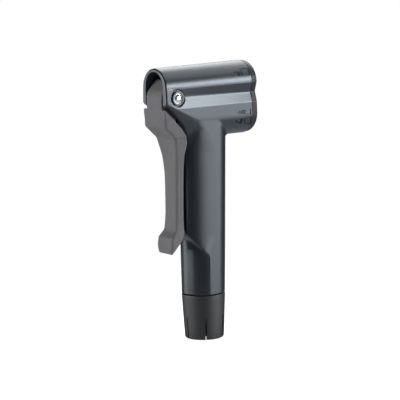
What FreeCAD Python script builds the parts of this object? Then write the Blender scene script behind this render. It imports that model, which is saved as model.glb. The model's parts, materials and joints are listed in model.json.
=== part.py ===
"""Twin-nozzle pump head with a locking lever.

A vertical grip carries a horizontal barrel of two stacked lobes. The open, arched back of the
barrel holds the lever's tongue on a riveted pin. The cam on the tongue pushes a frame that squeezes
two rubber seals behind the nozzle cap. A slotted sleeve at the foot takes the hose.

Millimetres. +Z runs up the grip, +X points to the nozzles, the lever lies on the -X side.
The origin is the centre of the hose opening in the sleeve's lower face.
"""
import FreeCAD, Part
import math
import os
from FreeCAD import Vector

# Hose sleeve
SLEEVE_LENGTH = 21.0
SLEEVE_STEP = 0.15
SLEEVE_TAPER = 1.15
SLEEVE_EDGE = 0.9
HOSE_RADIUS = 5.0
HOSE_SEAT_LENGTH = 7.0
SLOT_COUNT = 6
SLOT_WIDTH = 0.7
SLOT_HEIGHT = 10.5
SLOT_START_DEPTH = 0.25

# Grip
GRIP_LENGTH = 71.1
GRIP_HALF_WIDTH = 9.6
NECK_STEP = 0.25
GRIP_FRONT = 11.0
GRIP_FRONT_LEAN = 0.95
GRIP_BACK_OFFSET = 0.35
GRIP_BACK_LEAN = 2.0
PANEL_FRONT = 4.1
PANEL_FRONT_LEAN = 0.75
BEVEL_HALF_WIDTH = 4.5
BEVEL_BULGE = 0.2
BULGE_PLACE = 0.62
THROAT_RADIUS = 14.0
PANEL_CORNER_RADIUS = 5.6
PANEL_SLOPE = 28.0
PANEL_RISE = 2.3
SCOOP_SLOPE = 46.0
SCOOP_CORNER = 2.6
SCOOP_PANEL_GAP = 0.6
GRIP_HOLLOW_RADIUS = 6.2
GRIP_HOLLOW_ROOF = 4.1
NECK_SOCKET_RADIUS = 7.0
NECK_SOCKET_DEPTH = 22.0

# Barrel
UPPER_RADIUS = 9.75
UPPER_BACK_RADIUS = 9.1
LOWER_RADIUS = 9.7
LOBE_SPACING = 13.8
BELLY_RISE = 5.0
WAIST_DROP = 4.3
WAIST_BACK_RISE = 0.7
WAIST_DEPTH = 1.45
WAIST_BACK_DEPTH = 0.9
WAIST_RUN_OUT = 3.2
BODY_FRONT = 23.2
RIM_EDGE = 0.9
THROAT_RISE = 0.75
BORE_RADIUS = 7.0
CHANNEL_HALF_WIDTH = 5.6
MOUTH_HALF_WIDTH = 6.6
MOUTH_ROOF_WALL = 2.3

# Nozzle cap
CAP_LENGTH = 3.7
CAP_TAPER = 0.5
CAP_EDGE = 1.2
EDGE_FLAT = 0.7
SCHRADER_HOLE_RADIUS = 4.3
PRESTA_HOLE_RADIUS = 3.4
HOLE_CHAMFER = 0.7
HOOK_LENGTH = 7.0
HOOK_THICKNESS = 1.3
HOOK_WIDTH = 2.2
HOOK_BARB = 0.6
HOOK_RAMP = 1.2
HOOK_HEAD = 1.9

# Lever and its pin
PIN_OFFSET = 17.3
PIN_DROP = 4.1
PIN_RADIUS = 2.5
PIN_HEAD_RADIUS = 3.1
PIN_HEAD_THICKNESS = 1.2
PIN_RIM_WIDTH = 0.85
PIN_GROOVE_WIDTH = 0.25
PIN_GROOVE_DEPTH = 0.35
PIN_DOME_RISE = 0.6
COUNTERBORE_RADIUS = 3.85
COUNTERBORE_DEPTH = 0.95
ARCH_REACH = 6.5
LEVER_PROUD = 0.25
LEVER_SWING = 70.0
CAM_RADIUS = 6.2
CAM_OFFSET = 1.92
BUSH_WALL = 0.6
BUSH_LENGTH = 4.0
BUSH_FLANGE_RADIUS = 3.9
BUSH_FLANGE = 0.45
TONGUE_SLANT_START = 2.2
TONGUE_SLANT_ANGLE = 45.0
TONGUE_EDGE = 1.1
SHOULDER_DROP = 4.95
SHOULDER_HALF_WIDTH = 8.45
SHOULDER_CORNER = 0.8
SHOULDER_LENGTH = 7.8
SHOULDER_SIDE_LENGTH = 12.4
SHOULDER_TAPER_WIDTH = 0.9
SHOULDER_TAPER_LENGTH = 1.9
SHOULDER_TOE = 1.9
NECK_FLARE_WIDTH = 1.1
NECK_FLARE_DROP = 9.5
NECK_REACH = 0.8
ARM_DEPTH = 5.1
ARM_HALF_WIDTH = 4.8
ARM_WAIST_DROP = 36.0
ARM_STRAIGHT_DROP = 6.0
ARM_HOLLOW = 0.35
LOW_ARM_RISE = 5.6
LEVER_LENGTH = 70.6
TAB_HEIGHT = 9.5
TAB_REACH = 3.7
TAB_HALF_WIDTH = 6.0
TAB_TIP = 0.7
TAB_FLARE_RISE = 3.5
TAB_TOP_DROP = 3.5
TAB_BEND_RISE = 2.6

# Pusher, seals and air way
PUSHER_THICKNESS = 3.0
PUSHER_PAD = 2.1
PAD_HALF_WIDTH = 5.0
PAD_HALF_HEIGHT = 4.9
WEAR_PLATE_THICKNESS = 0.8
WEAR_PLATE_INSET = 0.2
LEG_THICKNESS = 2.0
LEG_HEIGHT = 3.6
MANIFOLD_LENGTH = 10.0
SEAL_PLATE_THICKNESS = 2.2
SEAL_WASHER_THICKNESS = 0.5
SEAL_RADIUS = 6.7
SCHRADER_SEAL_BORE = 3.95
PRESTA_SEAL_BORE = 3.05
SEAL_GUIDE_LENGTH = 6.8
SEAL_LIP_LENGTH = 2.2
SEAL_LIP = 0.3
SPIGOT_RADIUS = 2.3
SPIGOT_BORE = 1.2
SPIGOT_PRESS = 1.7
SPIGOT_REACH = 6.4
DEPRESSOR_RADIUS = 0.6
DEPRESSOR_REACH = 3.0
DEPRESSOR_TAIL = 5.0
DEPRESSOR_FIN = 0.4
SHUTTLE_RADIUS = 1.6
SHUTTLE_LENGTH = 4.1
SHUTTLE_TRAVEL = 1.0
SHUTTLE_NOSE = 0.5
SHUTTLE_OFFSET = 3.0
SEAT_THICKNESS = 1.0
SEAT_BORE = 0.9
AIRWAY_RADIUS = 1.1
AIRWAY_OFFSET = 1.0
PLUG_RADIUS = 2.1
PLUG_LENGTH = 3.6
FEED_RADIUS = 2.5
FEED_BORE = 1.5
FEED_PORT_DEPTH = 3.6

# Turning hose stem
STEM_RADIUS = 4.0
STEM_BORE = 1.5
STEM_COLLAR_RADIUS = 7.45
STEM_COLLAR_THICKNESS = 3.0
JOURNAL_LENGTH = 10.0
RING_SECTION = 0.5
RING_DEPTH = 2.6
RING_SPACING = 4.0
BARB_RADIUS = 3.2
BARB_RIDGE = 0.5
BARB_COUNT = 3
BARB_DEPTH = 9.3
BARB_LENGTH = 8.0
CLIP_RADIUS = 5.8
CLIP_THICKNESS = 1.0
CLIP_GROOVE_DEPTH = 0.5
CLIP_OPENING = 4.8
GLAND_DEPTH = 1.5
GLAND_LENGTH = 4.1
SOCKET_SPIGOT_RADIUS = 4.2
SOCKET_SPIGOT_LENGTH = 4.0
SOCKET_FLOOR = 1.5
FERRULE_RADIUS = 5.6
FERRULE_WALL = 0.6
FERRULE_LENGTH = 8.0

# Clearances
TURNING_GAP = 0.05
SLIDING_GAP = 0.1
SEATED_GAP = 0.05
LEVER_GAP = 0.5
SEAM_GAP = 0.15
BODY_GAP = 0.3

# Places that follow from the sizes above
seam_z = SLEEVE_LENGTH
neck_radius = GRIP_HALF_WIDTH + NECK_STEP
sleeve_top_radius = neck_radius + SLEEVE_STEP
sleeve_foot_radius = sleeve_top_radius - SLEEVE_TAPER
lower_z = seam_z + GRIP_LENGTH + LOWER_RADIUS
upper_z = lower_z + LOBE_SPACING
middle_z = (lower_z + upper_z) / 2
belly_z = lower_z + BELLY_RISE
waist_z = upper_z - WAIST_DROP
pin_x = -PIN_OFFSET
pin_z = upper_z - PIN_DROP
arch_x = pin_x - ARCH_REACH
lever_front_x = arch_x - LEVER_PROUD
cap_x = BODY_FRONT
swing = math.radians(LEVER_SWING)
half_swing = swing / 2
throw = 2 * CAM_OFFSET * math.sin(half_swing)
cam_x = pin_x - CAM_OFFSET * math.sin(half_swing)
cam_z = pin_z + CAM_OFFSET * math.cos(half_swing)
wear_x = cam_x + CAM_RADIUS + SLIDING_GAP
pad_x = wear_x + WEAR_PLATE_THICKNESS
pusher_x = pad_x + PUSHER_PAD
cavity_x = pusher_x - BODY_GAP - SEATED_GAP
manifold_x = pusher_x + PUSHER_THICKNESS + throw + 2 * BODY_GAP
seal_plate_x = manifold_x + MANIFOLD_LENGTH + BODY_GAP
washer_x = seal_plate_x + SEAL_PLATE_THICKNESS
seal_x = washer_x + SEAL_WASHER_THICKNESS + SEATED_GAP
tongue_half_width = MOUTH_HALF_WIDTH - BUSH_FLANGE - BODY_GAP + SEATED_GAP
cut_reach = UPPER_RADIUS + LOWER_RADIUS


def xz(y):
    """Place a point of a side view in the plane at y."""
    return lambda x, z: Vector(x, y, z)


def yz(x):
    """Place a point of an end view in the plane at x."""
    return lambda y, z: Vector(x, y, z)


def wire(place, start, *steps):
    """Closed wire: a pair is a straight edge to it, four numbers are an arc's middle and end."""
    edges = []
    here = place(*start)
    for step in steps:
        there = place(*step[-2:])
        if len(step) == 4:
            edges.append(Part.Arc(here, place(*step[:2]), there).toShape())
        else:
            edges.append(Part.makeLine(here, there))
        here = there
    edges.append(Part.makeLine(here, place(*start)))
    return Part.Wire(edges)


def slab(low_y, high_y, start, *steps):
    """Side view outline, extruded across the part."""
    face = Part.Face(wire(xz(low_y), start, *steps))
    return face.extrude(Vector(0, high_y - low_y, 0))


def bar(low_x, high_x, start, *steps):
    """End view outline, extruded along the barrel."""
    face = Part.Face(wire(yz(low_x), start, *steps))
    return face.extrude(Vector(high_x - low_x, 0, 0))


def block(low, high):
    return Part.makeBox(high[0] - low[0], high[1] - low[1], high[2] - low[2], Vector(*low))


def rod_x(radius, low_x, high_x, z, y=0.0):
    return Part.makeCylinder(radius, high_x - low_x, Vector(low_x, y, z), Vector(1, 0, 0))


def rod_y(radius, low_y, high_y, x, z):
    return Part.makeCylinder(radius, high_y - low_y, Vector(x, low_y, z), Vector(0, 1, 0))


def rod_z(radius, low_z, high_z, x=0.0):
    return Part.makeCylinder(radius, high_z - low_z, Vector(x, 0, low_z))


def turned(*points):
    """Solid turned about the grip's axis from (radius, height) points."""
    corners = [Vector(radius, 0, z) for radius, z in points]
    face = Part.Face(Part.makePolygon(corners + corners[:1]))
    return face.revolve(Vector(0, 0, 0), Vector(0, 0, 1), 360)


def mirrored(shape):
    """The shape and its copy on the other side of the barrel's middle plane."""
    return [shape, shape.mirror(Vector(0, 0, 0), Vector(0, 1, 0))]


def fused(*shapes):
    return shapes[0].fuse(list(shapes[1:])).removeSplitter()


def cut(shape, *tools):
    return shape.cut(list(tools)).removeSplitter()


def lobed(radius, half_width, low_x, high_x):
    """Figure-eight bar that fits the barrel's cavity."""
    web = block((low_x, -half_width, lower_z), (high_x, half_width, upper_z))
    return fused(rod_x(radius, low_x, high_x, lower_z), rod_x(radius, low_x, high_x, upper_z), web)


def save(name, shape):
    solids = shape.Solids
    shape = solids[0] if len(solids) == 1 else Part.makeCompound(solids)
    assert solids and shape.isValid(), name
    shape.exportStep("parts/" + name + ".step")
    print("%-18s %d solid, %8.1f mm3" % (name, len(solids), shape.Volume))


# Outline of the barrel

def upper_radius_at(x):
    """The upper lobe widens from the arch to the nozzle end."""
    share = (min(x, cap_x) - arch_x) / (cap_x - arch_x)
    return UPPER_BACK_RADIUS + (UPPER_RADIUS - UPPER_BACK_RADIUS) * share


def side_at(x, z):
    """Half width of the barrel's straight flank between belly and upper lobe."""
    share = (z - belly_z) / (upper_z - belly_z)
    return GRIP_HALF_WIDTH + (upper_radius_at(x) - GRIP_HALF_WIDTH) * share


def barrel_wire(x, inset=0.0, waist_depth=None):
    """Figure-eight outline, drawn in by inset, with a pointed waist if that has a depth."""
    upper = upper_radius_at(x) - inset
    lower = LOWER_RADIUS - inset
    belly = GRIP_HALF_WIDTH - inset
    steps = [(0, upper_z + upper, -upper, upper_z), (-belly, belly_z), (-lower, lower_z),
             (0, lower_z - lower, lower, lower_z), (belly, belly_z)]
    if waist_depth is not None:
        waist = side_at(x, waist_z) - waist_depth - inset
        steps.insert(1, (-waist, waist_z))
        steps.append((waist, waist_z))
    return wire(yz(x), (upper, upper_z), *steps)


def rounded_end(edge_x, end_x, taper, edge, waist_depth=None):
    """Sections of an end whose edge is rounded in two flats."""
    run = end_x - edge_x
    return [barrel_wire(edge_x, taper, waist_depth),
            barrel_wire(edge_x + run * EDGE_FLAT, taper + edge * (1 - EDGE_FLAT), waist_depth),
            barrel_wire(end_x, taper + edge, waist_depth)]


def groove_section(x, depth, z):
    """Section of the groove between the lobes on the -Y side, with its point at height z."""
    far = cut_reach
    return wire(yz(x), (depth - side_at(x, z), z), (-upper_radius_at(x), upper_z), (-far, upper_z),
                (-far, belly_z), (-GRIP_HALF_WIDTH, belly_z))


def waist_groove():
    """Groove that runs out into the flank behind the pin."""
    back_z = waist_z + WAIST_BACK_RISE
    start = groove_section(pin_x - WAIST_RUN_OUT, 0.0, back_z)
    deep = groove_section(pin_x + COUNTERBORE_RADIUS, WAIST_BACK_DEPTH, back_z)
    end = groove_section(cap_x, WAIST_DEPTH, waist_z)
    return [Part.makeLoft([start, deep], True, True), Part.makeLoft([deep, end], True, True)]


# Front of the grip, which the lever follows

def grip_front_x(z, gap=0.0):
    """Front of the grip at height z below the throat, gap in front of it."""
    return -GRIP_FRONT - gap - (throat_end_z - z) * math.tan(math.radians(GRIP_FRONT_LEAN))


throat_sum = arch_x + belly_z + THROAT_RISE
throat_corner_z = throat_sum + GRIP_FRONT
throat_run = THROAT_RADIUS * math.tan(math.radians(22.5))
throat_end_z = throat_corner_z - throat_run


def front_points(gap, top_x, foot_z):
    """Slope under the barrel, the throat's arc and the grip's front, moved out by gap."""
    radius = THROAT_RADIUS - gap
    centre_x = -GRIP_FRONT - THROAT_RADIUS
    diagonal = radius * math.sin(math.radians(45))
    half = math.radians(22.5)
    top = (top_x, throat_sum - gap * math.sqrt(2) - top_x)
    arc_start = (centre_x + diagonal, throat_end_z + diagonal)
    arc_middle = (centre_x + radius * math.cos(half), throat_end_z + radius * math.sin(half))
    arc_end = (centre_x + radius, throat_end_z)
    foot = (grip_front_x(foot_z, gap), foot_z)
    return [top, arc_start, arc_middle, arc_end, foot]


def panel_points(top_x, foot_z):
    """Front edge of the flat side panel: slope, rounded corner, upright."""
    slope = math.radians(PANEL_SLOPE)
    corner_z = belly_z + PANEL_RISE - (-PANEL_FRONT - arch_x) * math.tan(slope)
    half_turn = (math.radians(90) - slope) / 2
    run = PANEL_CORNER_RADIUS * math.tan(half_turn)
    centre = (-PANEL_FRONT - PANEL_CORNER_RADIUS, corner_z - run)
    top = (top_x, corner_z + (-PANEL_FRONT - top_x) * math.tan(slope))
    start = (-PANEL_FRONT - run * math.cos(slope), corner_z + run * math.sin(slope))
    middle = (centre[0] + PANEL_CORNER_RADIUS * math.cos(half_turn),
              centre[1] + PANEL_CORNER_RADIUS * math.sin(half_turn))
    end = (-PANEL_FRONT, centre[1])
    foot_x = -PANEL_FRONT + (end[1] - foot_z) * math.tan(math.radians(PANEL_FRONT_LEAN))
    return [top, start, middle, end, (foot_x, foot_z)]


def front_wire(y, points, far_x):
    top, start, middle, end, foot = points
    return wire(xz(y), top, start, middle + end, foot, (far_x, foot[1]), (far_x, top[1]))


def front_cutter():
    """Everything in front of the grip's face, its bevels and its side panels."""
    top_x = arch_x - 3.0
    far_x = arch_x - cut_reach
    foot_z = seam_z + 5.0
    face = front_points(0.0, top_x, foot_z)
    panel = panel_points(top_x, foot_z)
    share = BULGE_PLACE - BEVEL_BULGE
    bulge = [(a[0] + (b[0] - a[0]) * share, a[1] + (b[1] - a[1]) * share)
             for a, b in zip(face, panel)]
    bulge_y = BEVEL_HALF_WIDTH + BULGE_PLACE * (GRIP_HALF_WIDTH - BEVEL_HALF_WIDTH)
    middle = Part.Face(front_wire(-BEVEL_HALF_WIDTH, face, far_x))
    pieces = [middle.extrude(Vector(0, 2 * BEVEL_HALF_WIDTH, 0))]
    for side in (-1, 1):
        wires = [front_wire(side * BEVEL_HALF_WIDTH, face, far_x),
                 front_wire(side * bulge_y, bulge, far_x),
                 front_wire(side * GRIP_HALF_WIDTH, panel, far_x)]
        pieces.append(Part.makeLoft(wires[:2], True, True))
        pieces.append(Part.makeLoft(wires[1:], True, True))
        pieces.append(Part.Face(wires[2]).extrude(Vector(0, side * cut_reach, 0)))
    return pieces


# Lever outline, in places measured from the pin

tab_z = pin_z - LEVER_LENGTH
chin_z = tab_z + TAB_HEIGHT
lever_back_z = chin_z + 0.3
shoulder_z = pin_z - SHOULDER_DROP


def lever_profile():
    """Side view of shoulder, arm and finger tab."""
    back = front_points(LEVER_GAP, lever_front_x + 0.15, lever_back_z)
    front_x = lever_front_x
    slope_z = shoulder_z - SHOULDER_LENGTH
    arm_x = grip_front_x(pin_z - ARM_WAIST_DROP, LEVER_GAP) - ARM_DEPTH
    slope_run = arm_x - SHOULDER_TOE - front_x
    throat = (front_x + slope_run, slope_z - slope_run)
    waist = (arm_x, pin_z - ARM_WAIST_DROP)
    low_arm_z = chin_z + LOW_ARM_RISE
    low_arm_x = grip_front_x(low_arm_z, LEVER_GAP) - ARM_DEPTH
    tab_x = low_arm_x - TAB_REACH
    bend_x = low_arm_x - 0.43 * TAB_REACH
    bend = (low_arm_x - 0.15 * TAB_REACH, chin_z + TAB_BEND_RISE, bend_x, chin_z)
    chin = (back[4][0] - 0.5, chin_z - 0.9)
    return slab(-SHOULDER_HALF_WIDTH, SHOULDER_HALF_WIDTH,
                (front_x, shoulder_z), (front_x, slope_z), throat,
                (arm_x - ARM_HOLLOW, (throat[1] + waist[1]) / 2 + 1.0) + waist,
                (low_arm_x, low_arm_z), bend, (tab_x + 0.6, chin_z - 2.0),
                (tab_x, chin_z - TAB_TOP_DROP), (tab_x + 0.1, tab_z + 0.9),
                (tab_x + TAB_TIP, tab_z), chin, back[4], back[3], back[2] + back[1], back[0])


def lever_width():
    """Front view of shoulder, arm and finger tab."""
    wide = SHOULDER_HALF_WIDTH
    arm = ARM_HALF_WIDTH
    tab = TAB_HALF_WIDTH
    toe = wide - SHOULDER_TAPER_WIDTH
    neck = arm + NECK_FLARE_WIDTH
    side_z = shoulder_z - SHOULDER_SIDE_LENGTH
    toe_z = side_z - SHOULDER_TAPER_LENGTH
    neck_z = side_z - NECK_FLARE_DROP
    waist_height = pin_z - ARM_WAIST_DROP - ARM_STRAIGHT_DROP
    flare_z = chin_z + TAB_FLARE_RISE
    tab_top_z = chin_z - TAB_TOP_DROP
    foot = tab - TAB_TIP
    right = [(wide, shoulder_z - SHOULDER_CORNER), (wide, side_z), (toe, toe_z),
             (neck, neck_z, arm, waist_height), (arm, flare_z),
             (arm + 0.3, chin_z - 0.5, tab, tab_top_z), (tab, tab_z + 3.5, foot, tab_z - 1.0)]
    left = [(-foot, tab_z - 1.0), (-tab, tab_z + 3.5, -tab, tab_top_z),
            (-arm - 0.3, chin_z - 0.5, -arm, flare_z), (-arm, waist_height),
            (-neck, neck_z, -toe, toe_z), (-wide, side_z),
            (-wide, shoulder_z - SHOULDER_CORNER), (-wide + SHOULDER_CORNER, shoulder_z)]
    reach = cut_reach + LEVER_LENGTH
    start = (wide - SHOULDER_CORNER, shoulder_z)
    return bar(pin_x - reach, pin_x + reach, start, *(right + left))


def tongue():
    """Cam and neck that stand in the arch."""
    half = tongue_half_width
    front = lever_front_x
    neck_x = pin_x + NECK_REACH
    neck_foot = throat_sum - LEVER_GAP * math.sqrt(2) - neck_x
    slant = math.tan(math.radians(TONGUE_SLANT_ANGLE))
    top_z = cam_z + CAM_RADIUS
    slant_z = pin_z + TONGUE_SLANT_START
    cam = rod_y(CAM_RADIUS, -half, half, cam_x, cam_z)
    rims = [edge for edge in cam.Edges if edge.BoundBox.YLength < TONGUE_EDGE]
    cam = cam.makeChamfer(TONGUE_EDGE, rims)
    neck = slab(-half, half, (front, shoulder_z - 3.0), (front, slant_z), (cam_x, slant_z),
                (neck_x, pin_z - 3.0), (neck_x, neck_foot))
    keep = slab(-half, half, (front, shoulder_z - 5.0), (front, slant_z),
                (front + (top_z - slant_z) / slant, top_z), (pin_x + cut_reach, top_z),
                (pin_x + cut_reach, shoulder_z - 5.0))
    return fused(cam, neck).common(keep)


def make_lever():
    arm = lever_profile().common(lever_width())
    hole = rod_y(PIN_RADIUS + BUSH_WALL, -cut_reach, cut_reach, pin_x, pin_z)
    return cut(fused(arm, tongue()), hole)


# Housing

def grip_section(z):
    """Flat sides with a round back, at height z."""
    back = GRIP_BACK_OFFSET + (z - seam_z) * math.tan(math.radians(GRIP_BACK_LEAN))
    half = GRIP_HALF_WIDTH
    front = -GRIP_FRONT - 3.0
    return wire(lambda x, y: Vector(x, y, z), (front, -half), (back, -half),
                (back + half, 0, back, half), (front, half))


def scoop():
    """Finger scoop: the grip's front below the tab is cut back to the round neck."""
    panel_x = panel_points(arch_x, chin_z)[4][0] + SCOOP_PANEL_GAP
    rim_z = chin_z - 1.0
    front_x = grip_front_x(rim_z)
    slope = math.tan(math.radians(SCOOP_SLOPE))
    corner_z = rim_z - (panel_x - front_x) * slope
    far = arch_x - cut_reach
    profile = slab(-cut_reach, cut_reach, (far, rim_z + (front_x - far) * 0.2),
                   (front_x - 4.0, rim_z + 4.0 * slope),
                   (panel_x - SCOOP_CORNER, corner_z + SCOOP_CORNER * slope),
                   (panel_x, corner_z - SCOOP_CORNER), (panel_x, seam_z - 1.0), (far, seam_z - 1.0))
    neck = rod_z(neck_radius, seam_z - 2.0, rim_z + cut_reach)
    return profile.cut(neck)


def mouth():
    """Arched room for the tongue, with the slot that the lever's neck leaves through."""
    roof_z = upper_z + UPPER_RADIUS - MOUTH_ROOF_WALL
    spring_z = roof_z - MOUTH_HALF_WIDTH
    half = MOUTH_HALF_WIDTH
    floor_z = cam_z - CAM_RADIUS - BODY_GAP - SEATED_GAP
    slot_x = pin_x + NECK_REACH + LEVER_GAP + BODY_GAP
    arch = bar(arch_x - 1.0, cavity_x, (-half, floor_z), (half, floor_z), (half, spring_z),
               (0, roof_z, -half, spring_z))
    slot = block((arch_x - 1.0, -half, throat_corner_z), (slot_x, half, floor_z + 1.0))
    return [arch, slot]


def hook_pockets():
    tip_x = cap_x - HOOK_LENGTH
    half = HOOK_WIDTH / 2 + BODY_GAP
    depth = CHANNEL_HALF_WIDTH + HOOK_BARB + SLIDING_GAP
    low = (tip_x - BODY_GAP, CHANNEL_HALF_WIDTH - 1.0, middle_z - half)
    high = (tip_x + HOOK_HEAD + 2 * BODY_GAP, depth, middle_z + half)
    return mirrored(block(low, high))


def neck():
    """Round front of the grip's foot, between the flat sides."""
    top_z = chin_z + 4.0
    front = block((-neck_radius - 1.0, -GRIP_HALF_WIDTH, seam_z),
                  (GRIP_BACK_OFFSET, GRIP_HALF_WIDTH, top_z))
    return rod_z(neck_radius, seam_z, top_z).common(front)


def make_housing():
    rim = rounded_end(arch_x + RIM_EDGE, arch_x, 0.0, RIM_EDGE)
    barrel = Part.makeLoft([barrel_wire(cap_x)] + rim, True, True)
    grip = Part.makeLoft([grip_section(seam_z), grip_section(lower_z)], True, True)
    body = fused(barrel, grip, neck())
    groove = waist_groove()
    body = cut(body, *front_cutter())
    body = cut(body, scoop())
    body = cut(body, *(mirrored(groove[0]) + mirrored(groove[1])))
    flank = side_at(pin_x, pin_z) - COUNTERBORE_DEPTH
    seat = rod_y(COUNTERBORE_RADIUS, flank, cut_reach, pin_x, pin_z)
    pin_hole = rod_y(PIN_RADIUS + SEATED_GAP / 2, -cut_reach, cut_reach, pin_x, pin_z)
    hollow_top = lower_z - BORE_RADIUS - GRIP_HOLLOW_ROOF
    socket = rod_z(NECK_SOCKET_RADIUS, seam_z - 1.0, seam_z + NECK_SOCKET_DEPTH)
    hollow = rod_z(GRIP_HOLLOW_RADIUS, seam_z, hollow_top)
    feed_hole = rod_z(FEED_RADIUS + SEATED_GAP, hollow_top - 1.0, lower_z - BORE_RADIUS + 1.0)
    cavity = lobed(BORE_RADIUS, CHANNEL_HALF_WIDTH, cavity_x, cap_x + 1.0)
    tools = [cavity, socket, hollow, feed_hole, pin_hole] + mouth() + mirrored(seat) + hook_pockets()
    for tool in tools:
        body = cut(body, tool)
    return body


def make_nozzle_cap():
    """Tapered end plate with two hooks that snap into the barrel."""
    edge_x = cap_x + CAP_LENGTH - CAP_EDGE
    end_x = cap_x + CAP_LENGTH
    rim = rounded_end(edge_x, end_x, CAP_TAPER, CAP_EDGE, WAIST_DEPTH)
    plate = Part.makeLoft([barrel_wire(cap_x, 0.0, WAIST_DEPTH)] + rim, True, True)
    outer = CHANNEL_HALF_WIDTH - SLIDING_GAP
    inner = outer - HOOK_THICKNESS
    tip_x = cap_x - HOOK_LENGTH
    half = HOOK_WIDTH / 2
    face = Part.Face(Part.makePolygon([
        Vector(cap_x, inner, 0), Vector(tip_x, inner, 0), Vector(tip_x, outer, 0),
        Vector(tip_x + HOOK_RAMP, outer + HOOK_BARB, 0),
        Vector(tip_x + HOOK_HEAD, outer + HOOK_BARB, 0), Vector(tip_x + HOOK_HEAD, outer, 0),
        Vector(cap_x, outer, 0), Vector(cap_x, inner, 0)]))
    hook = face.extrude(Vector(0, 0, 2 * half))
    hook.translate(Vector(0, 0, middle_z - half))
    cap = fused(plate, *mirrored(hook))
    holes = []
    for radius, z in ((SCHRADER_HOLE_RADIUS, upper_z), (PRESTA_HOLE_RADIUS, lower_z)):
        holes.append(rod_x(radius, cap_x - 1.0, end_x + 1.0, z))
        holes.append(Part.makeCone(radius, radius + HOLE_CHAMFER, HOLE_CHAMFER,
                                   Vector(end_x - HOLE_CHAMFER, 0, z), Vector(1, 0, 0)))
    return cut(cap, *holes)


# Lever pin and bushes

def make_lever_pin():
    """Rivet whose ends are a flat rim that stands in the counterbore, a groove and a dome."""
    head_y = side_at(pin_x, pin_z) - COUNTERBORE_DEPTH + PIN_HEAD_THICKNESS
    floor_y = head_y - PIN_GROOVE_DEPTH
    shank = rod_y(PIN_RADIUS, -head_y, head_y, pin_x, pin_z)
    heads = mirrored(rod_y(PIN_HEAD_RADIUS, head_y - PIN_HEAD_THICKNESS, head_y, pin_x, pin_z))
    recess_radius = PIN_HEAD_RADIUS - PIN_RIM_WIDTH
    recesses = mirrored(rod_y(recess_radius, floor_y, cut_reach, pin_x, pin_z))
    dome_radius = recess_radius - PIN_GROOVE_WIDTH
    ball_radius = (dome_radius ** 2 + PIN_DOME_RISE ** 2) / (2 * PIN_DOME_RISE)
    ball_y = floor_y + PIN_DOME_RISE - ball_radius
    ball = Part.makeSphere(ball_radius, Vector(pin_x, ball_y, pin_z))
    core = rod_y(dome_radius + PIN_GROOVE_WIDTH / 2, floor_y - 1.0, cut_reach, pin_x, pin_z)
    domes = mirrored(ball.common(core))
    return fused(cut(fused(shank, *heads), *recesses), *domes)


def make_lever_bushes():
    outer_y = tongue_half_width
    sleeve = rod_y(PIN_RADIUS + BUSH_WALL, outer_y - BUSH_LENGTH, outer_y, pin_x, pin_z)
    flange = rod_y(BUSH_FLANGE_RADIUS, outer_y, outer_y + BUSH_FLANGE, pin_x, pin_z)
    hole = rod_y(PIN_RADIUS + TURNING_GAP, -cut_reach, cut_reach, pin_x, pin_z)
    return Part.makeCompound(mirrored(cut(fused(sleeve, flange), hole)))


# Pusher and what it carries

leg_outer = CHANNEL_HALF_WIDTH - SLIDING_GAP
leg_inner = leg_outer - LEG_THICKNESS


def leg_box(low_x, high_x, gap):
    return block((low_x, leg_inner - gap, middle_z - LEG_HEIGHT / 2 - gap),
                 (high_x, leg_outer + gap, middle_z + LEG_HEIGHT / 2 + gap))


def make_pusher():
    far_x = pusher_x + PUSHER_THICKNESS
    plate = lobed(BORE_RADIUS - SLIDING_GAP, CHANNEL_HALF_WIDTH - SLIDING_GAP, pusher_x, far_x)
    pad = block((pad_x, -PAD_HALF_WIDTH, cam_z - PAD_HALF_HEIGHT),
                (pusher_x, PAD_HALF_WIDTH, cam_z + PAD_HALF_HEIGHT))
    return fused(plate, pad, *mirrored(leg_box(far_x, washer_x, 0.0)))


def make_wear_plate():
    width = PAD_HALF_WIDTH - WEAR_PLATE_INSET
    height = PAD_HALF_HEIGHT - WEAR_PLATE_INSET
    return block((wear_x, -width, cam_z - height), (pad_x, width, cam_z + height))


def make_seal_plate():
    gap = 2 * SLIDING_GAP
    plate = lobed(BORE_RADIUS - gap, CHANNEL_HALF_WIDTH - gap, seal_plate_x, washer_x)
    slots = mirrored(leg_box(seal_plate_x - 1.0, washer_x + 1.0, SEATED_GAP))
    hole_radius = SPIGOT_RADIUS + 3 * TURNING_GAP
    holes = [rod_x(hole_radius, seal_plate_x - 1.0, washer_x + 1.0, z)
             for z in (lower_z, upper_z)]
    return cut(plate, *(slots + holes))


def make_seal_washers():
    rings = []
    for z in (lower_z, upper_z):
        disc = rod_x(SEAL_RADIUS - SLIDING_GAP, washer_x, washer_x + SEAL_WASHER_THICKNESS, z)
        rings.append(disc.cut(rod_x(SPIGOT_RADIUS + 4 * TURNING_GAP, washer_x - 1.0, seal_x + 1.0, z)))
    return Part.makeCompound(rings)


def make_seal(bore_radius, z):
    """Rubber gland: a guide for the valve, a tighter lip behind it and a bore for the spigot."""
    end_x = cap_x - SEATED_GAP
    gland = rod_x(SEAL_RADIUS, seal_x, end_x, z)
    guide_x = end_x - SEAL_GUIDE_LENGTH
    guide = rod_x(bore_radius, guide_x, end_x + 1.0, z)
    lip = rod_x(bore_radius - SEAL_LIP, guide_x - SEAL_LIP_LENGTH, guide_x + 1.0, z)
    back = rod_x(SPIGOT_RADIUS + SLIDING_GAP, seal_x - 1.0, guide_x, z)
    return cut(gland, guide, lip, back)


# Air way

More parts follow.
